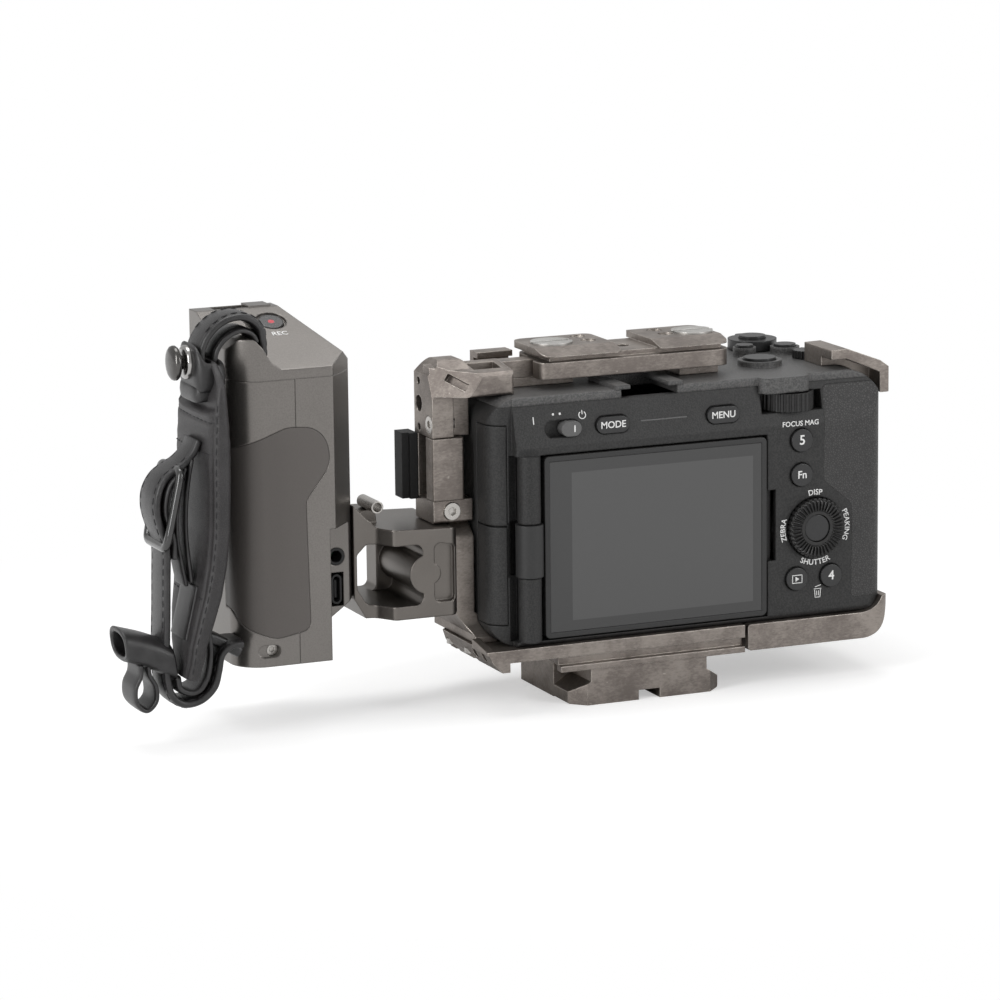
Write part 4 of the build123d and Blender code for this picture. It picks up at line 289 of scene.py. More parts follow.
steel = speckled("steel", (0.48, 0.46, 0.44), (0.42, 0.40, 0.38), (0.58, 0.56, 0.53), (900.0, 2.0), (0.20, 0.16),
                 0.00003, 0.00025, Metallic=1.0)
dress(steel, "tripod_screw", "base_screws")

# Camera casing: moulded shell with a fine crackle finish, a smoother lid and a leather-grained grip cover.
# All three are black; dust and light catch the lid's rounded edge.
shell_black = Finish("shell_black", (0.032, 0.032, 0.033), Specular_IOR_Level=0.42)
shell_eased = shell_black.rounded(0.0007)
shell_speck = shell_black.noise(2100.0, 3.0)
shell_cloud = shell_black.noise(60.0, 3.0)
shell_black.paint(
    Base_Color=shell_black.mix((0.014, 0.014, 0.014), (0.031, 0.0305, 0.030),
                               shell_black.step(shell_speck, 0.36, 0.66)),
    Roughness=0.40 + shell_speck * 0.16 + shell_cloud * 0.08,
    Normal=shell_black.bump(shell_speck, 0.00011, shell_eased, 0.7))
dress(shell_black, "camera_body", "camera_port_door_upper", "camera_port_door_lower")

lid_black = Finish("lid_black", (0.05, 0.05, 0.052), Specular_IOR_Level=0.55)
lid_eased = lid_black.rounded(0.0011)
lid_speck = lid_black.noise(1900.0, 3.0)
lid_black.paint(
    Base_Color=lid_black.mix((0.046, 0.046, 0.046), (0.105, 0.103, 0.101), lid_black.step(lid_speck, 0.34, 0.68)),
    Roughness=0.36 + lid_speck * 0.18,
    Normal=lid_black.bump(lid_speck, 0.00012, lid_eased, 0.8))
dress(lid_black, "camera_top_plate")

grip_hide = Finish("grip_hide", (0.045, 0.044, 0.044), Specular_IOR_Level=0.45)
grip_lumps = grip_hide.cells(1400.0, 0.02, 0.30)
grip_hide.paint(
    Base_Color=grip_hide.mix((0.030, 0.0295, 0.0293), (0.056, 0.0545, 0.054), grip_lumps),
    Roughness=0.62 - grip_lumps * 0.14,
    Normal=grip_hide.bump(grip_lumps, 0.00010, grip_hide.rounded(0.0006), 0.5))
dress(grip_hide, "camera_grip_cover")

# Screen: a flat swinging housing with a glass front, the picture area a shade paler than its border.
# It hangs on the hinge barrel at its left side.
frame_black = speckled("frame_black", (0.040, 0.040, 0.040), (0.020, 0.020, 0.020), (0.034, 0.034, 0.034),
                       (1500.0, 2.0), (0.40, 0.14), 0.00005, 0.0005, 0.6, Specular_IOR_Level=0.45)
dress(frame_black, "camera_lcd_housing", "camera_lcd_hinge")

screen_glass = Finish("screen_glass", (0.06, 0.06, 0.06), Coat_Weight=0.6, Coat_Roughness=0.12)
picture_left, picture_right, picture_foot, picture_top = -25.2 * MM, 35.1 * MM, 26.6 * MM, 71.9 * MM
picture_blur = 0.3 * MM
glass_x, glass_z = (screen_glass.node("ShaderNodeSeparateXYZ", None, {0: screen_glass.spot}, output=axis)
                    for axis in ("X", "Z"))
inside_x = (screen_glass.step(glass_x, picture_left, picture_left + picture_blur)
            * screen_glass.step(picture_right - glass_x, 0.0, picture_blur))
inside_z = (screen_glass.step(glass_z, picture_foot, picture_foot + picture_blur)
            * screen_glass.step(picture_top - glass_z, 0.0, picture_blur))
glass_dust = screen_glass.noise(180.0, 5.0)
screen_glass.paint(Base_Color=screen_glass.mix((0.028, 0.028, 0.028), (0.060, 0.060, 0.060), inside_x * inside_z),
                   Roughness=0.30 + glass_dust * 0.08)
dress(screen_glass, "camera_lcd_glass")

# Camera keys, wheel and dials: moulded keys with a soft gloss and black anodised, knurled wheels.
# Each key stands a little proud of its well.
key_black = speckled("key_black", (0.030, 0.030, 0.031), (0.013, 0.013, 0.0135), (0.024, 0.024, 0.0245),
                     (1700.0, 2.0), (0.30, 0.12), 0.00004, 0.0005, Specular_IOR_Level=0.55)
dress(key_black, "camera_button_five", "camera_button_fn", "camera_button_play", "camera_button_four",
      "camera_mode_button", "camera_menu_button", "camera_ring_button", "camera_small_button",
      "camera_assign_button", "camera_zoom_lever", "camera_shutter_button", "camera_wheel_button")
dial_black = speckled("dial_black", (0.032, 0.032, 0.033), (0.016, 0.016, 0.0165), (0.044, 0.043, 0.042),
                      (1200.0, 3.0), (0.26, 0.16), 0.00004, 0.0003, Metallic=0.5, Specular_IOR_Level=0.6)
dress(dial_black, "camera_control_wheel", "camera_rear_dial", "camera_top_dial")

slider_grey = Finish("slider_grey", (0.10, 0.10, 0.10), Specular_IOR_Level=0.6)
slider_speck = slider_grey.noise(1700.0, 2.0)
slider_grey.paint(Base_Color=slider_grey.mix((0.080, 0.080, 0.080), (0.125, 0.124, 0.123), slider_speck),
                  Roughness=0.30 + slider_speck * 0.12, Normal=slider_grey.rounded(0.0005))
dress(slider_grey, "camera_power_switch")

# Printed legends on keys and casing: pad-printed white ink, a few hundredths of a millimetre thick.
# Letters and signs sit on the back of the camera, on its leaning upper panel and on the keys themselves.
ink_white = Finish("ink_white", (0.82, 0.82, 0.81), Roughness=0.55)
ink_white.paint(Base_Color=ink_white.mix((0.74, 0.74, 0.73), (0.90, 0.90, 0.89), ink_white.noise(3000.0, 2.0)))
back_y, key_y, panel_key_y = -21.78, -22.63, -21.40
panel_foot_z = 80.0
slant = math.atan(3.1 / 12.3)


def piece(name, points, faces, finish, body, smooth=True):
    """Mesh object from points in metres and its faces, with finish and body"""
    mesh = bpy.data.meshes.new(name)
    mesh.from_pydata([tuple(p) for p in np.asarray(points, float)], [], [tuple(int(i) for i in f) for f in faces])
    mesh.update()
    mesh.polygons.foreach_set("use_smooth", np.full(len(mesh.polygons), smooth))
    mesh.materials.append(finish.material)
    made = bpy.data.objects.new(name, mesh)
    bpy.context.scene.collection.objects.link(made)
    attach(made, body)
    return made


def print_on(name, words, height, x, y, z, body, spin=0.0, lean=0.0, bend=0.0):
    """Words printed on a face that looks to the back: letters of one height, spun in the face and leaning with it.
    A bend lays the line of words round a circle of that radius: the way along the line becomes the angle, and the
    height above it is added to the radius"""
    size_of_capital = 1.38
    font = bpy.data.curves.new(name, "FONT")
    font.body, font.size = words, height * size_of_capital * MM
    font.align_x, font.align_y = "CENTER", "CENTER"
    font.extrude, font.resolution_u, font.offset = 0.00002, 3, 0.00004 * height / 2
    holder = bpy.data.objects.new(name, font)
    bpy.context.scene.collection.objects.link(holder)
    bpy.context.view_layer.update()
    mesh = bpy.data.meshes.new_from_object(holder.evaluated_get(bpy.context.evaluated_depsgraph_get()))
    bpy.data.objects.remove(holder)
    if bend:
        flat = np.empty(len(mesh.vertices) * 3)
        mesh.vertices.foreach_get("co", flat)
        flat = flat.reshape(-1, 3)
        radius, way = abs(bend * MM), math.copysign(1.0, bend)
        angle = flat[:, 0] / radius
        reach = radius + flat[:, 1] * way
        flat[:, 0] = reach * np.sin(angle)
        flat[:, 1] = way * (reach * np.cos(angle) - radius)
        mesh.vertices.foreach_set("co", flat.ravel())
    mesh.transform(Matrix.Translation((x * MM, y * MM, z * MM)) @ Matrix.Rotation(math.pi / 2 - lean, 4, "X")
                   @ Matrix.Rotation(spin, 4, "Z"))
    mesh.materials.clear()
    mesh.materials.append(ink_white.material)
    made = bpy.data.objects.new(name, mesh)
    bpy.context.scene.collection.objects.link(made)
    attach(made, body)
    return made


def grid_faces(rows, columns):
    """Quads of a tube of rows rings with columns points each, and one face to close either end"""
    r, c = np.meshgrid(np.arange(rows - 1), np.arange(columns), indexing="ij")
    n = (c + 1) % columns
    quads = np.stack([r * columns + c, r * columns + n, (r + 1) * columns + n, (r + 1) * columns + c], -1)
    return ([tuple(q) for q in quads.reshape(-1, 4)] + [tuple(range(columns - 1, -1, -1))]
            + [tuple(range((rows - 1) * columns, rows * columns))])


def unit(rows):
    """Each row divided by its own length"""
    return rows / np.linalg.norm(rows, axis=1)[:, None]


def drawn(name, strokes, wide, x, y, z, body, lean=0.0):
    """Printed sign: each stroke is a flat ribbon that keeps half the line width either side of its points, in the
    plane of the casing's back, which leans forward by the angle lean"""
    ink_thick = 0.05
    points, faces = [], []
    for stroke in strokes:
        at = np.asarray(stroke, float)
        along = unit(np.gradient(at, axis=0))
        across = np.stack([-along[:, 1], along[:, 0]], 1) * wide / 2
        left, right, low = at + across, at - across, np.zeros(len(at))
        ring = np.stack([np.c_[left, low], np.c_[right, low], np.c_[right, low + ink_thick],
                         np.c_[left, low + ink_thick]], 1)
        flat = ring.reshape(-1, 3)
        start = sum(len(part) for part in points)
        points.append(np.stack([x + flat[:, 0], y + flat[:, 2] * math.cos(lean) + flat[:, 1] * math.sin(lean),
                                z + flat[:, 1] * math.cos(lean) - flat[:, 2] * math.sin(lean)], 1))
        faces += [tuple(start + i for i in face) for face in grid_faces(len(at), 4)]
    return piece(name, np.vstack(points) * MM, faces, ink_white, body, smooth=False)


def arc(radius, start, end, count):
    """Points of a circular arc between two angles in degrees"""
    a = np.radians(np.linspace(start, end, count))
    return np.stack([radius * np.cos(a), radius * np.sin(a)], 1)


def on_slant(z):
    """Depth of the leaning upper panel at a height: it goes forward by the tangent of its lean from its lower edge"""
    return back_y + max(z - panel_foot_z, 0.0) * math.tan(slant)


print_on("label_five", "5", 3.0, 51.4, key_y, 75.1, "button_five")
print_on("label_fn", "Fn", 2.4, 51.4, key_y, 64.4, "button_fn")
print_on("label_four", "4", 2.9, 61.4, key_y, 32.2, "button_four")
print_on("label_mode", "MODE", 2.1, -11.0, panel_key_y, 84.9, "mode_button")
print_on("label_menu", "MENU", 2.1, 25.5, panel_key_y, 84.9, "menu_button")
drawn("sign_play", [[(-1.7, -1.2), (1.7, -1.2)], [(1.6, -1.2), (1.6, 1.2)], [(1.7, 1.2), (-1.7, 1.2)],
                    [(-1.6, 1.2), (-1.6, -1.2)], [(-0.5, -0.7), (-0.5, 0.7)], [(-0.3, -0.6), (-0.3, 0.6)],
                    [(-0.1, -0.46), (-0.1, 0.46)], [(0.1, -0.33), (0.1, 0.33)], [(0.3, -0.2), (0.3, 0.2)],
                    [(0.5, -0.08), (0.5, 0.08)]], 0.22, 49.7, key_y - 0.07, 32.2, "button_play")
drawn("sign_bin", [[(-1.25, 1.15), (1.25, 1.15)], [(-1.0, 0.9), (-0.82, -1.5)], [(-0.9, -1.5), (0.9, -1.5)],
                   [(0.82, -1.5), (1.0, 0.9)], [(-0.34, 0.55), (-0.28, -0.95)], [(0.34, 0.55), (0.28, -0.95)],
                   [(-0.9, 1.75), (1.1, 2.3)]], 0.20, 57.1, back_y, 27.2, "cage")
drawn("sign_power", [arc(1.1, 125, 415, 26), [(0.0, 0.2), (0.0, 1.45)]], 0.26, -20.4, on_slant(88.4), 88.4, "cage",
      slant)
drawn("sign_on", [[(0.0, -1.1), (0.0, 1.1)]], 0.30, -36.3, on_slant(87.9), 87.9, "cage", slant)
for number, dot_x in enumerate((-29.8, -27.6)):
    drawn(f"sign_dot_{number}", [arc(0.22, 0, 350, 12)], 0.3, dot_x, on_slant(89.3), 89.3, "cage", slant)
slot_glow = drawn("sign_slit", [[(-7.6, 0.0), (7.6, 0.0)]], 0.42, 6.0, on_slant(85.2), 85.2, "cage", slant)
slot_glow.data.materials[0] = slider_grey.material
switch_low, switch_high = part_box("camera_power_switch")
drawn("switch_mark", [[(0.0, -1.0), (0.0, 1.0)]], 0.4, switch_high[0] / MM - 2.2, switch_low[1] / MM - 0.06,
      (switch_low[2] + switch_high[2]) / 2 / MM, "power_switch")

# Control wheel's face: a ring of fine radial ribs round a dished hub, pressed into the black wheel.
# It turns with the wheel; the legends round it and above the round keys are printed on the casing and stay still.
wheel_low, wheel_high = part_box("camera_control_wheel")
wheel_x, wheel_z = (wheel_low[0] + wheel_high[0]) / 2 / MM, (wheel_low[2] + wheel_high[2]) / 2 / MM
wheel_y = wheel_low[1] / MM
rib_count, rib_in, rib_long, rib_proud = 40, 5.3, 3.6, 0.80
turns, steps = 480, 15


def loop_faces(rows, columns, flipped=False):
    """Quads of a closed ring of rows sections with columns points each, joined end to end both ways"""
    r, c = np.meshgrid(np.arange(rows), np.arange(columns), indexing="ij")
    after, beside = (r + 1) % rows, (c + 1) % columns
    quads = np.stack([r * columns + c, r * columns + beside, after * columns + beside, after * columns + c], -1)
    return quads.reshape(-1, 4)[:, [0, 3, 2, 1]] if flipped else quads.reshape(-1, 4)


def rib_ring():
    """Front of the ring: the radius grows evenly along a rib, and the height is a rounded step along the rib times
    a cosine round the ring that peaks at each rib. The back is the same ring laid flat inside the wheel"""
    turn, run = np.meshgrid(np.linspace(0, 2 * np.pi, turns, endpoint=False), np.linspace(0, 1, steps), indexing="ij")
    radius = rib_in + rib_long * run
    high = rib_proud * np.sqrt(np.clip(1 - (2 * run - 1) ** 4, 0, 1)) * (0.45 + 0.55 * np.cos(rib_count * turn))
    front = np.stack([wheel_x + radius * np.sin(turn), wheel_y - 0.02 - high, wheel_z + radius * np.cos(turn)], -1)
    back = front[:, ::-1] * [1, 0, 1] + [0, wheel_y + 0.15, 0]
    return np.concatenate([front, back], 1).reshape(-1, 3)


piece("wheel_ribs", rib_ring() * MM, loop_faces(turns, 2 * steps), dial_black, "control_wheel")

legend_x, legend_z, legend_radius, legend_high = 56.2, 47.6, 10.9, 1.75
for label, words, angle, way in (("label_disp", "DISP", 0.0, 1.0), ("label_side_left", "ZEBRA", 90.0, 1.0),
                                 ("label_side_right", "PEAKING", -90.0, 1.0), ("label_foot", "SHUTTER", 180.0, -1.0)):
    around = math.radians(angle)
    print_on(label, words, legend_high, legend_x - legend_radius * math.sin(around), back_y,
             legend_z + legend_radius * math.cos(around), "cage", spin=around if way > 0 else 0.0,
             bend=legend_radius * way)
print_on("label_magnify", "FOCUS MAG", 1.6, 51.2, back_y, 80.2, "cage")

# Mount ring and body cap on the far side of the camera: bright steel bayonet and a moulded black cap.
# The cap twists off; its rubbery black is also that of the block beside the cable clamp.
rubber = speckled("rubber", (0.022, 0.022, 0.022), (0.018, 0.018, 0.018), (0.036, 0.036, 0.036), (1500.0, 3.0),
                  (0.55, 0.2), 0.00008, 0.0004, 0.7, Specular_IOR_Level=0.35)
dress(steel, "camera_mount_ring")
dress(rubber, "camera_body_cap", "cage_rubber_pad")

# Cage side frame, cable clamp, cold shoe, top rail and shoulder hook: the same tumbled grey metal as the base.
# The arm is blasted smooth; its darker grey is painted shade, standing for the shade that falls on its face. Socket
# screws hold both, and bright slotted screws hold the rail.
dress(cage_grey, "cage_side_frame", "cable_clamp_jaw", "cage_cold_shoe", "cage_top_rail", "cage_shoulder_hook")
shaded_arm_grey = Finish("shaded_arm_grey", (0.16, 0.147, 0.135), Metallic=1.0)
arm_eased = shaded_arm_grey.rounded(0.0007)
arm_speck = shaded_arm_grey.noise(1800.0, 3.0)
arm_cloud = shaded_arm_grey.noise(60.0, 3.0)
# Painted shade: the arm's base colour is set darker than the cage's grey to stand for the shade on it.
shaded_arm_grey.paint(Base_Color=shaded_arm_grey.mix((0.135, 0.124, 0.114), (0.215, 0.198, 0.182),
                                       arm_cloud * 0.7 + arm_speck * 0.3),
               Roughness=0.30 + arm_speck * 0.10,
               Normal=shaded_arm_grey.bump(arm_speck, 0.00003, arm_eased, 0.5))
dress(shaded_arm_grey, "arm_bracket")
dress(steel, "side_screws", "arm_bolts", "arm_pin")
silver = machined("silver", (0.40, 0.39, 0.37), (0.56, 0.55, 0.53), (0.80, 0.79, 0.77), 0.0003, (1, 1, 1))
dress(silver, "slotted_screws")

# Side handle: two cast half shells and a cap, bead blasted and coated satin grey, with a soft brown-grey palm panel.
# Fine seams run between them.
handle_grey = Finish("handle_grey", (0.19, 0.178, 0.167), Metallic=0.82)
handle_eased = handle_grey.rounded(0.0006)
handle_speck = handle_grey.noise(2600.0, 2.0)
handle_cloud = handle_grey.noise(24.0, 2.0)
handle_grey.paint(
    Base_Color=handle_grey.mix((0.180, 0.168, 0.157), (0.222, 0.208, 0.195),
                               handle_grey.step(handle_speck * 0.5 + handle_cloud * 0.5, 0.35, 0.65)),
    Roughness=0.27 + handle_speck * 0.08,
    Normal=handle_grey.bump(handle_speck, 0.00003, handle_eased, 0.5))
dress(handle_grey, "handle_outer_shell", "handle_inner_shell", "handle_top_cap", "handle_battery_door")

palm_brown = speckled("palm_brown", (0.118, 0.107, 0.099), (0.108, 0.098, 0.091), (0.130, 0.118, 0.110),
                      (2600.0, 2.0), (0.44, 0.08), 0.00003, 0.0005, Metallic=0.25)
dress(palm_brown, "handle_palm_panel")

# Handle sockets, record key, screws, cells and circuit board, all set in the cast shells.
# The key is a dark dish with a small red mark at its middle, in the cap's sloping roof.
dress(rubber, "handle_jack_socket", "handle_usb_socket")
dress(steel, "handle_shell_screws")
record_middle = (-106.3 * MM, 12.6 * MM, 118.2 * MM)
roof_slope = 0.4255
record_key = Finish("record_key", (0.05, 0.05, 0.05), Specular_IOR_Level=0.7)
from_middle = record_key.node("ShaderNodeVectorMath", {"operation": "DISTANCE"},
                              {0: record_key.spot, 1: record_middle}, output="Value")
record_key.paint(Base_Color=record_key.mix((0.55, 0.03, 0.05), (0.045, 0.044, 0.044),
                                           record_key.step(from_middle, 0.0008, 0.0011)),
                 Roughness=0.22 + record_key.noise(900.0) * 0.1,
                 Normal=record_key.rounded(0.0006))
dress(record_key, "handle_rec_button")
print_on("label_record", "REC", 2.0, -106.1, 5.88, 115.62, "cage", lean=math.pi / 2 - math.atan(roof_slope))
cell_wrap = Finish("cell_wrap", (0.10, 0.10, 0.12))
cell_wrap.paint(Base_Color=cell_wrap.mix((0.08, 0.08, 0.10), (0.13, 0.13, 0.16), cell_wrap.noise(200.0)),
                Roughness=0.3 + cell_wrap.noise(600.0) * 0.1)
dress(cell_wrap, "handle_battery")
board_green = Finish("board_green", (0.03, 0.12, 0.06))
board_green.paint(Base_Color=board_green.mix((0.02, 0.09, 0.04), (0.05, 0.17, 0.08), board_green.noise(500.0)),
                  Roughness=0.35 + board_green.noise(900.0) * 0.1)
dress(board_green, "handle_circuit_board")

# Hand strap's pad: foam sewn between two sheets of dark grey leather, thick at the edge that the palm meets.
# It hangs from the keeper by a narrow neck and narrows again to its sewn foot.
leather = Finish("leather", (0.075, 0.070, 0.073), Specular_IOR_Level=0.5)
pore_lumps = leather.cells(2300.0, 0.02, 0.28)
hide_cloud = leather.noise(130.0, 4.0)
leather_eased = leather.rounded(0.0004)
leather_worn = leather.rubbed(leather_eased)
leather_base = leather.mix((0.020, 0.0186, 0.0191), (0.040, 0.0372, 0.0382),
                           leather.step(hide_cloud * 0.7 + pore_lumps * 0.3, 0.30, 0.70))
leather.paint(Base_Color=leather.mix(leather_base, (0.13, 0.12, 0.125), leather_worn * 0.4),
              Roughness=0.46 + hide_cloud * 0.12 - pore_lumps * 0.08,
              Normal=leather.bump(pore_lumps * 0.4 + hide_cloud * 0.6, 0.00009, leather_eased, 0.6))
strap_hide = Finish("strap_hide", (0.030, 0.028, 0.029), Specular_IOR_Level=0.6, Coat_Roughness=0.30)
strap_lumps = strap_hide.cells(2600.0, 0.02, 0.28)
strap_cloud = strap_hide.noise(170.0, 4.0)
strap_eased = strap_hide.rounded(0.0004)
strap_worn = strap_hide.rubbed(strap_eased)
strap_base = strap_hide.mix((0.008, 0.0076, 0.0078), (0.021, 0.0198, 0.0203),
                            strap_hide.step(strap_cloud, 0.32, 0.66))
strap_hide.paint(Base_Color=strap_hide.mix(strap_base, (0.09, 0.085, 0.086), strap_worn * 0.4),
                 Roughness=0.30 + strap_cloud * 0.18 - strap_lumps * 0.05,
                 Coat_Weight=0.05 + strap_cloud * 0.12,
                 Normal=strap_hide.bump(strap_lumps * 0.3 + strap_cloud * 0.7, 0.00013, strap_eased, 0.6))
thread = Finish("thread", (0.012, 0.012, 0.013))
thread.paint(Base_Color=thread.mix((0.009, 0.009, 0.010), (0.022, 0.021, 0.022), thread.noise(4000.0)),
             Roughness=0.55 + thread.noise(2000.0) * 0.2)


def along_line(line):
    """Distance run along a line of points, from its first to each of them"""
    return np.concatenate([[0], np.cumsum(np.linalg.norm(np.diff(line, axis=0), axis=1))])


def read_at(at, run, line):
    """Points of a line at the given distances along it, on straight lines between its points"""
    return np.stack([np.interp(at, run, line[:, k]) for k in range(line.shape[1])], 1)


def squared(wave, power):
    """Sine or cosine pressed towards a square wave: its size to a power below 1, with its sign kept"""
    return np.sign(wave) * np.abs(wave) ** power


def smooth_route(points, count, per_span=24):
    """Points evenly spaced along a Catmull-Rom curve: each span is the cubic that passes through its two ends with
    the slope of the chord between their neighbours"""
    p = np.asarray(points, float)
    p = np.vstack([2 * p[0] - p[1], p, 2 * p[-1] - p[-2]])
    t = np.linspace(0, 1, per_span, endpoint=False)[:, None]
    spans = [0.5 * (2 * b + (c - a) * t + (2 * a - 5 * b + 4 * c - d) * t ** 2 + (3 * b - a - 3 * c + d) * t ** 3)
             for a, b, c, d in zip(p, p[1:], p[2:], p[3:])]
    fine = np.vstack(spans + [p[-2][None]])
    run = along_line(fine)
    return read_at(np.linspace(0, run[-1], count), run, fine)


band_sides = 40


def band_rows(route, width, thick, count, crown=0.25, channel=0.22):
    """Flat leather band along a route in X and Z: at each point a rounded rectangle of the width in Y and the
    thickness across the route, its faces crowned, with a shallow channel where the stitches run. Returns the
    band's sections, the smoothed route and the directions that its upper face looks in"""
    stitch_in, stitch_wide = 1.6, 0.42
    line = smooth_route(route, count)
    step_x, step_z = np.gradient(line[:, 0]), np.gradient(line[:, 1])
    size = np.hypot(step_x, step_z)
    out_x, out_z = -step_z / size, step_x / size
    a = np.linspace(0, 2 * np.pi, band_sides, endpoint=False)
    side, up = squared(np.cos(a), 0.30), squared(np.sin(a), 0.62)
    dent = channel * np.exp(-((np.abs(side) * width / 2 - (width / 2 - stitch_in)) / stitch_wide) ** 2)
    lift_by = up * (thick / 2 + crown * (1 - side ** 2)) - np.sign(up) * dent * np.abs(up)
    rows = np.stack([line[:, [0]] + out_x[:, None] * lift_by, side * width / 2 + np.zeros((count, 1)),
                     line[:, [1]] + out_z[:, None] * lift_by], -1)
    return rows, line, np.stack([out_x, np.zeros(count), out_z], 1)


def band(name, rows, middle_y, widen=1.0):
    """Piece from a band's sections, each widened and then moved to its middle along Y"""
    placed = rows.copy()
    placed[..., 1] = rows[..., 1] * widen + middle_y
    return piece(name, placed.reshape(-1, 3) * MM, grid_faces(len(rows), band_sides), strap_hide, "cage")


def track(line, out, push, y):
    """Line on a band's face: its route pushed out along the face's direction, at one place across the band"""
    return np.stack([line[:, 0] + out[:, 0] * push, y + 0 * line[:, 0], line[:, 1] + out[:, 2] * push], 1)


def stitches(name, line, normal, body, pitch=3.1, long=2.1, thick=0.42):
    """Row of thread stitches: small capsules laid at even spacing along a line of points, half sunk in the face"""
    proud, look_ahead = 0.04, 0.4
    run = along_line(line)
    at = np.arange(pitch, run[-1] - pitch / 2, pitch)
    spot = read_at(at, run, line)
    ahead_of = unit(read_at(at + look_ahead, run, line) - spot)
    out = read_at(at, run, normal)
    out = unit(out - ahead_of * (out * ahead_of).sum(1)[:, None])
    side = np.cross(out, ahead_of)
    ring = np.linspace(0, 2 * np.pi, 7, endpoint=False)
    lift_at = np.array([-1.0, -0.8, 0.0, 0.8, 1.0])
    fat = np.array([0.15, 0.75, 1.0, 0.75, 0.15])
    points = (spot[:, None, None] + ahead_of[:, None, None] * (lift_at * long / 2)[None, :, None, None]
              + side[:, None, None] * (fat[:, None] * np.cos(ring))[None, :, :, None] * thick / 2
              + out[:, None, None] * ((fat[:, None] * np.sin(ring)) * thick / 2 + proud)[None, :, :, None])
    levels, sides = len(fat), len(ring)
    r, c = np.meshgrid(np.arange(levels - 1), np.arange(sides), indexing="ij")
    n = (c + 1) % sides
    one = np.stack([r * sides + c, (r + 1) * sides + c, (r + 1) * sides + n, r * sides + n], -1).reshape(-1, 4)
    faces = (np.arange(len(spot))[:, None, None] * levels * sides + one[None]).reshape(-1, 4)
    return piece(name, points.reshape(-1, 3) * MM, faces, thread, body)


pad_top, pad_long = 112.2, 91.8
pad_rows, pad_sides = 300, 72
top_row, middle_row, foot_row = 95.6, 86.6, 44.6


def pad_point(u, v):
    """Point of the pad: u goes round its section, v down from the neck to the foot. The section is a rounded
    rectangle whose edges, outer and inner faces are read from tables of the height. Its outer face is crowned, sinks
    along the rim's seam, folds under the keeper, steps in at the neck and creases a little below it. Both ends are
    closed by a quarter circle"""
    z = pad_top - pad_long * v
    high = [20.4, 26.0, 38.0, 50.0, 60.0, 80.0, 96.0, 102.0, 106.0, 109.0, 112.4]
    near = np.interp(z, high, [-21.5, -23.4, -24.0, -24.0, -24.0, -24.0, -23.8, -23.2, -21.6, -18.6, -13.8])
    far = np.interp(z, high, [-8.0, -4.5, 3.2, 9.2, 11.0, 11.0, 10.6, 8.2, 4.6, 2.0, 0.9])
    outer = np.interp(z, [20.4, 30, 38, 45, 54, 63, 74, 85, 96, 102, 106, 112.4],
                      [-146.4, -145.4, -143.6, -141.7, -139.9, -138.9, -138.5, -138.4, -137.6, -136.9, -135.6,
                       -134.8])
    inner = np.interp(z, [20.4, 30, 38, 45, 54, 63, 74, 88, 96, 102, 112.4],
                      [-142.7, -140.7, -137.8, -135.4, -133.5, -132.4, -131.9, -131.6, -132.0, -132.4, -132.5])
    side, up = squared(np.cos(u), 0.28), squared(np.sin(u), 0.70)
    half, thick = (far - near) / 2, (inner - outer) / 2
    edge_in = np.minimum(1.0 - side, 1.0 + side) * half
    outer_side = up < 0
    seam = 0.7 * np.exp(-((edge_in - 2.4) / 0.55) ** 2) * outer_side
    crown = 0.6 * (1 - side ** 2) * outer_side
    sag = 99.6 - 1.2 * (1 - side ** 2)
    neck = 1.7 / (1 + np.exp(-(z - sag) / 0.22)) * np.clip(edge_in / 2.0 - 0.6, 0, 1)
    fold = 0.45 * np.exp(-((z - sag + 1.2) / 0.7) ** 2) - 0.35 * np.exp(-((z - top_row) / 0.4) ** 2)
    fold = (fold - neck) * outer_side
    crease = 0.10 * np.sin(z * 1.3 + side * 2.3) * np.exp(-((z - 90.0) / 7.0) ** 2)
    close = np.sqrt(np.clip(1 - np.clip((np.abs(v - 0.5) - 0.488) / 0.012, 0, 1) ** 2, 0.02, 1))
    y = (near + far) / 2 + side * half * (0.94 + 0.06 * close)
    x = (outer + inner) / 2 + up * thick * close + (seam - crown + crease - fold) * np.abs(up) * close
    return np.stack([x, y, z + 0 * u], -1)


pad_v, pad_u = np.meshgrid(np.linspace(0, 1, pad_rows), np.linspace(0, 2 * np.pi, pad_sides, endpoint=False),
                           indexing="ij")
pad = piece("pad", pad_point(pad_u, pad_v).reshape(-1, 3) * MM, grid_faces(pad_rows, pad_sides), leather, "cage")
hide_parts("strap_hand_pad")
outward = [-1.0, 0.0, 0.0]
for side_name, around in (("near", -2.64), ("far", -0.5)):
    down_pad = pad_point(np.full(120, around), np.linspace(0.10, 0.985, 120))
    stitches("pad_stitches_" + side_name, down_pad, np.tile(outward, (120, 1)), "cage")
for row_name, height in (("top", top_row), ("middle", middle_row), ("foot", foot_row)):
    across_pad = pad_point(np.linspace(-2.38, -0.74, 36), np.full(36, (pad_top - height) / pad_long))
    stitches("pad_row_" + row_name, across_pad, np.tile(outward, (36, 1)), "cage")

# Top band: a stitched leather strip that goes over the handle's bar and comes back under itself.
# Both ends are held in the keeper.
top_band_y = -4.5
over = [(-135.6, 106.0), (-135.9, 111.0), (-135.6, 115.6), (-133.0, 120.0), (-129.0, 123.0), (-124.6, 124.0),
        (-120.6, 123.0), (-117.6, 119.9), (-117.0, 115.6), (-117.0, 111.0)]
rows, line, out = band_rows(over, 12.0, 2.2, 90)
top_band = band("top_band", rows, top_band_y)
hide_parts("strap_top_band")
above_keeper = 26
for side_name, edge in (("near", -4.4), ("far", 4.4)):
    stitches("top_band_stitches_" + side_name, track(line, out, 1.2, top_band_y + edge)[above_keeper:],
             out[above_keeper:], "cage")
under = [(-132.2, 106.0), (-131.9, 112.0), (-130.4, 115.9), (-127.2, 118.8), (-123.4, 119.9), (-120.2, 118.6),
         (-118.8, 116.2)]
band("top_band_return", band_rows(under, 11.4, 1.7, 60)[0], top_band_y)


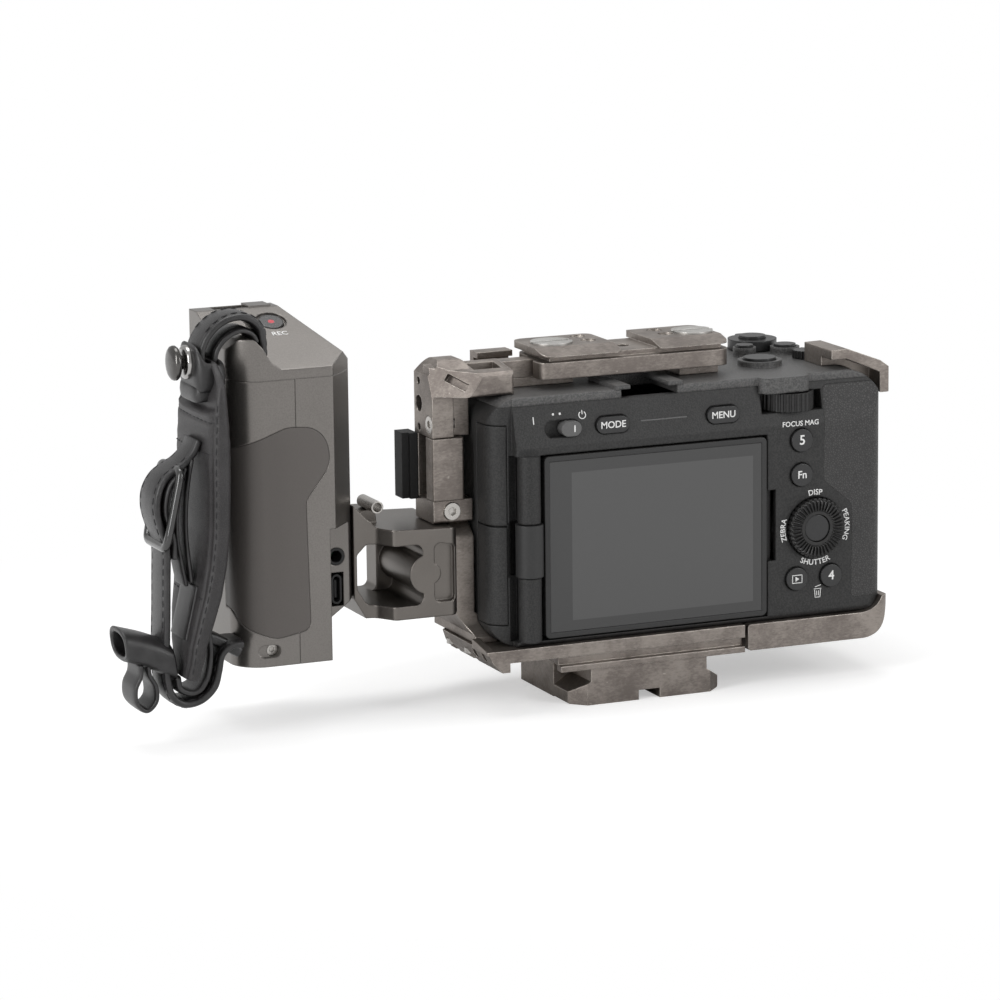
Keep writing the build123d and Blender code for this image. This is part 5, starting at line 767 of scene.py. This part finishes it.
# Top keeper: a wide leather cuff round the band and the pad's neck, cut hollow at its upper edge.
# A second, narrower cuff sits below it.
def cuff(name, middle, half_x, half_y, wall, low, high):
    """Leather cuff: a rounded-rectangle loop in plan; its wall is a thin pill section that stands between two
    heights, each given as a function of the angle round the loop, and bulges outwards at half height"""
    turns, sides, ease = 96, 20, 0.42
    angle, around = np.meshgrid(np.linspace(0, 2 * np.pi, turns, endpoint=False),
                                np.linspace(0, 2 * np.pi, sides, endpoint=False), indexing="ij")
    plan_x, plan_y = squared(np.cos(angle), ease) * half_x, squared(np.sin(angle), ease) * half_y
    size = np.hypot(plan_x / half_x ** 2, plan_y / half_y ** 2)
    out_x, out_y = plan_x / half_x ** 2 / size, plan_y / half_y ** 2 / size
    swing, rise = squared(np.cos(around), 0.8) * wall / 2, squared(np.sin(around), 0.35)
    low_z, high_z = low(angle), high(angle)
    bulge = 0.35 * np.sin(np.pi * (rise + 1) / 2)
    x = middle[0] + plan_x + out_x * (swing + bulge)
    y = middle[1] + plan_y + out_y * (swing + bulge)
    z = (low_z + high_z) / 2 + rise * (high_z - low_z) / 2
    return piece(name, np.stack([x, y, z], -1).reshape(-1, 3) * MM, loop_faces(turns, sides, flipped=True),
                 strap_hide, "cage")


keeper = cuff("top_keeper", (-134.4, -5.7), 3.7, 8.2, 1.7, lambda a: 103.6 + 0.5 * np.cos(a),
              lambda a: 113.6 - 2.3 * np.cos(a) + 0.9 * np.sin(a) + 0.9 * np.cos(2 * a))
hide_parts("strap_top_keeper")
cuff("lower_keeper", (-135.0, -5.4), 3.6, 7.4, 1.4, lambda a: 100.6 + 0.4 * np.cos(a),
     lambda a: 105.2 + 0.3 * np.sin(a))


# Stud: a domed black button on a bright metal base ring, both turned and polished.
# It is pinned through the keeper, and the band's hole buttons over it.
stud_x, stud_y, stud_z = -138.6, -5.7, 111.4


def turned(name, profile, finish):
    """Solid of revolution about the stud's axis, along X: the profile gives distance along -X and radius, from and
    to the axis"""
    along, radius = np.asarray(profile, float).T
    angle = np.linspace(0, 2 * np.pi, 48, endpoint=False)
    points = np.stack([stud_x - along[:, None] + 0 * angle, stud_y + radius[:, None] * np.cos(angle),
                       stud_z + radius[:, None] * np.sin(angle)], -1)
    return piece(name, points.reshape(-1, 3) * MM, grid_faces(len(along), len(angle)), finish, "cage")


chrome = Finish("chrome", (0.42, 0.41, 0.40), Metallic=1.0)
chrome_haze = chrome.noise(500.0, 3.0)
chrome.paint(Base_Color=chrome.mix((0.34, 0.33, 0.32), (0.50, 0.49, 0.48), chrome_haze),
             Roughness=0.12 + chrome_haze * 0.12, Normal=chrome.rounded(0.0003))
stud_black = Finish("stud_black", (0.10, 0.098, 0.095), Metallic=0.9)
stud_haze = stud_black.noise(420.0, 4.0)
stud_black.paint(Base_Color=stud_black.mix((0.07, 0.068, 0.065), (0.15, 0.145, 0.14), stud_haze),
                 Roughness=0.16 + stud_haze * 0.14, Normal=stud_black.bump(stud_haze, 0.00003))
base = turned("stud_base", [(0, 0.02), (0, 4.6), (0.3, 5.0), (1.3, 5.0), (1.9, 4.5), (2.1, 3.4), (2.0, 2.2),
                            (3.6, 2.1), (3.9, 0.02)], chrome)
knob = turned("stud_button", [(3.4, 0.02), (3.4, 3.6), (3.6, 4.7), (4.1, 5.1), (4.7, 5.1), (5.2, 4.9), (5.7, 4.2),
                              (6.0, 3.1), (6.15, 1.6), (6.2, 0.02)], stud_black)
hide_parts("strap_stud")
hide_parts("strap_stud")

# Tension band: stitched strip from the handle's foot, round below the pad in a double bight, up the outside.
# It passes over the buckle's bars with a slack loop outside and a tab sewn to the pad.
tension = [(-127.4, 28.6), (-131.0, 28.4), (-134.0, 26.0), (-135.1, 21.2), (-136.6, 16.6), (-140.6, 13.2),
           (-145.6, 12.5), (-149.4, 15.2), (-150.9, 21.0), (-150.9, 30.0), (-150.5, 40.0), (-150.2, 50.0),
           (-150.0, 57.0), (-150.4, 61.4), (-151.9, 65.6), (-152.9, 70.4), (-152.4, 75.2), (-150.2, 79.2),
           (-146.9, 81.6), (-143.8, 83.4), (-140.8, 86.4), (-139.2, 89.8)]
tension_y = -10.0
rows, line, out = band_rows(tension, 13.0, 2.3, 260)
at_loop = np.exp(-((line[:, [1]] - 70.0) / 7.0) ** 4)
up_to_pad = np.clip((line[:, [1]] - 78.0) / 8.0, 0, 1)
taper = 1.0 + 0.12 * at_loop - 0.16 * up_to_pad
tension_band = band("tension_band", rows, tension_y, taper)
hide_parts("strap_tension_band")
sewn = slice(8, 250)
for side_name, edge in (("near", -4.9), ("far", 4.9)):
    for face_name, push in (("outer", 1.02), ("inner", -1.02)):
        stitches(f"tension_stitches_{side_name}_{face_name}",
                 track(line, out, push, tension_y + edge * taper[:, 0])[sewn], out[sewn] * np.sign(push), "cage")

# Plain leather layers of the tension band: the slack loop's lining, the bight's second layer, two tails between
# buckle and pad, the lug in the handle's foot and the tab sewn to the pad. They have no stitched channel.
plain_crown = 0.12
layers = (("loop_lining", 13.4, 1.8, -10.2, [(-145.8, 80.6), (-148.6, 77.6), (-150.0, 73.6), (-150.2, 69.6),
                                             (-149.2, 65.6), (-148.0, 61.6), (-147.8, 56.0)]),
          ("bight", 12.4, 2.0, -10.0, [(-147.6, 20.6), (-146.9, 17.2), (-143.8, 15.6), (-140.8, 16.4), (-138.8, 19.4),
                                       (-137.8, 23.4), (-137.4, 28.0), (-137.9, 33.0)]),
          ("tail_outer", 9.6, 1.3, -11.0, [(-143.6, 82.4), (-145.2, 77.0), (-146.4, 70.0), (-146.6, 62.0),
                                           (-145.4, 54.0), (-144.2, 47.6)]),
          ("tail_inner", 9.0, 1.3, -11.4, [(-141.6, 84.6), (-142.9, 78.0), (-143.8, 70.0), (-143.9, 62.0),
                                           (-143.2, 54.0), (-142.6, 48.4)]),
          ("lug", 9.0, 3.4, -9.0, [(-137.6, 31.2), (-134.0, 29.6), (-130.0, 27.2), (-127.4, 25.6)]),
          ("foot_tab", 13.6, 1.5, -11.0, [(-141.6, 47.4), (-142.6, 43.0), (-143.9, 37.6), (-145.3, 32.0)]))
for layer_name, width, thick, middle_y, route in layers:
    band("strap_" + layer_name, band_rows(route, width, thick, 70, plain_crown, 0.0)[0], middle_y)

# Buckle: a bent wire frame with rounded corners, lacquered glossy black.
# Its bars lie inside the band's slack loop.
buckle_black = Finish("buckle_black", (0.014, 0.014, 0.014), Coat_Weight=0.8, Coat_Roughness=0.06)
buckle_haze = buckle_black.noise(400.0)
buckle_black.paint(Base_Color=buckle_black.mix((0.010, 0.010, 0.010), (0.030, 0.029, 0.028), buckle_haze),
                   Roughness=0.2 + buckle_haze * 0.12)


def closed_tube(route, radius, squash, count, sides):
    """Points of a closed tube of elliptic section along a loop of 3-D corners, smoothed by averaging neighbours"""
    smoothing_rounds = 60
    faces_out = np.array([-0.96, 0.0, 0.28])
    p = np.asarray(route, float)
    share = np.linspace(0, 1, count // len(p), endpoint=False)[:, None]
    fine = np.concatenate([start + (end - start) * share for start, end in zip(p, np.roll(p, -1, 0))])
    for _ in range(smoothing_rounds):
        fine = (np.roll(fine, 1, 0) + fine * 2 + np.roll(fine, -1, 0)) / 4
    along = unit(np.roll(fine, -1, 0) - np.roll(fine, 1, 0))
    first = unit(faces_out - along * (along @ faces_out)[:, None])
    second = np.cross(along, first)
    angle = np.linspace(0, 2 * np.pi, sides, endpoint=False)
    points = (fine[:, None] + first[:, None] * np.cos(angle)[None, :, None] * radius * squash
              + second[:, None] * np.sin(angle)[None, :, None] * radius)
    return points.reshape(-1, 3), loop_faces(len(fine), sides)


frame_points, frame_faces = closed_tube([(-146.2, -18.6, 81.8), (-151.2, -18.6, 59.8), (-151.4, -1.4, 59.8),
                                         (-146.4, -1.4, 81.8)], 1.5, 0.8, 240, 16)
buckle = piece("buckle", frame_points * MM, frame_faces, buckle_black, "cage")
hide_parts("strap_buckle")

# Bottom keeper: a leather sleeve across the band, its left end open.
# The band's end is folded in a small loop below it.
sleeve_rows, sleeve_sides = 60, 64
sleeve_inner_x, sleeve_long, sleeve_wall = -148.8, 14.8, 1.7
sleeve_y, sleeve_z = -10.6, 31.4
sleeve_t, sleeve_a = np.meshgrid(np.linspace(0, 1, sleeve_rows),
                                 np.linspace(0, 2 * np.pi, sleeve_sides, endpoint=False), indexing="ij")


def sleeve_point(t, a):
    """Point of the sleeve: t runs down its length outside, round the rim and back up inside, a goes round the
    flattened oval section"""
    run = np.clip(t * 2.2, 0, 1) - np.clip(t * 2.2 - 1.2, 0, 1)
    inside = np.clip(t * 2.2 - 1.0, 0, 0.2) / 0.2
    wall = sleeve_wall * (1 - np.cos(np.pi * inside)) / 2
    half_y, half_z = 7.6 - wall, 5.3 - wall
    rim = 0.5 * np.sin(np.pi * inside)
    x = sleeve_inner_x - sleeve_long * run - rim
    droop = -6.2 + 6.2 * run + 0.5 * np.sin(np.pi * run)
    y = sleeve_y + squared(np.cos(a), 0.75) * half_y
    z = sleeve_z + droop + squared(np.sin(a), 0.75) * half_z * (1.0 + 0.06 * np.cos(np.pi * run))
    return np.stack([x - 0.12 * (z - sleeve_z - droop), y, z], -1)


keeper_faces = [tuple(reversed(face)) for face in grid_faces(sleeve_rows, sleeve_sides)]
bottom_keeper = piece("bottom_keeper", sleeve_point(sleeve_t, sleeve_a).reshape(-1, 3) * MM, keeper_faces, strap_hide,
                      "cage")
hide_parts("strap_bottom_keeper")
loop_route = [(-158.7, 25.4), (-158.9, 22.0), (-160.5, 18.4), (-160.2, 14.2), (-157.3, 11.7), (-154.4, 14.2),
              (-154.3, 18.4), (-156.1, 22.0), (-156.5, 25.4)]
band("strap_end_loop", band_rows(loop_route, 12.0, 1.5, 80, plain_crown, 0.0)[0], tension_y)
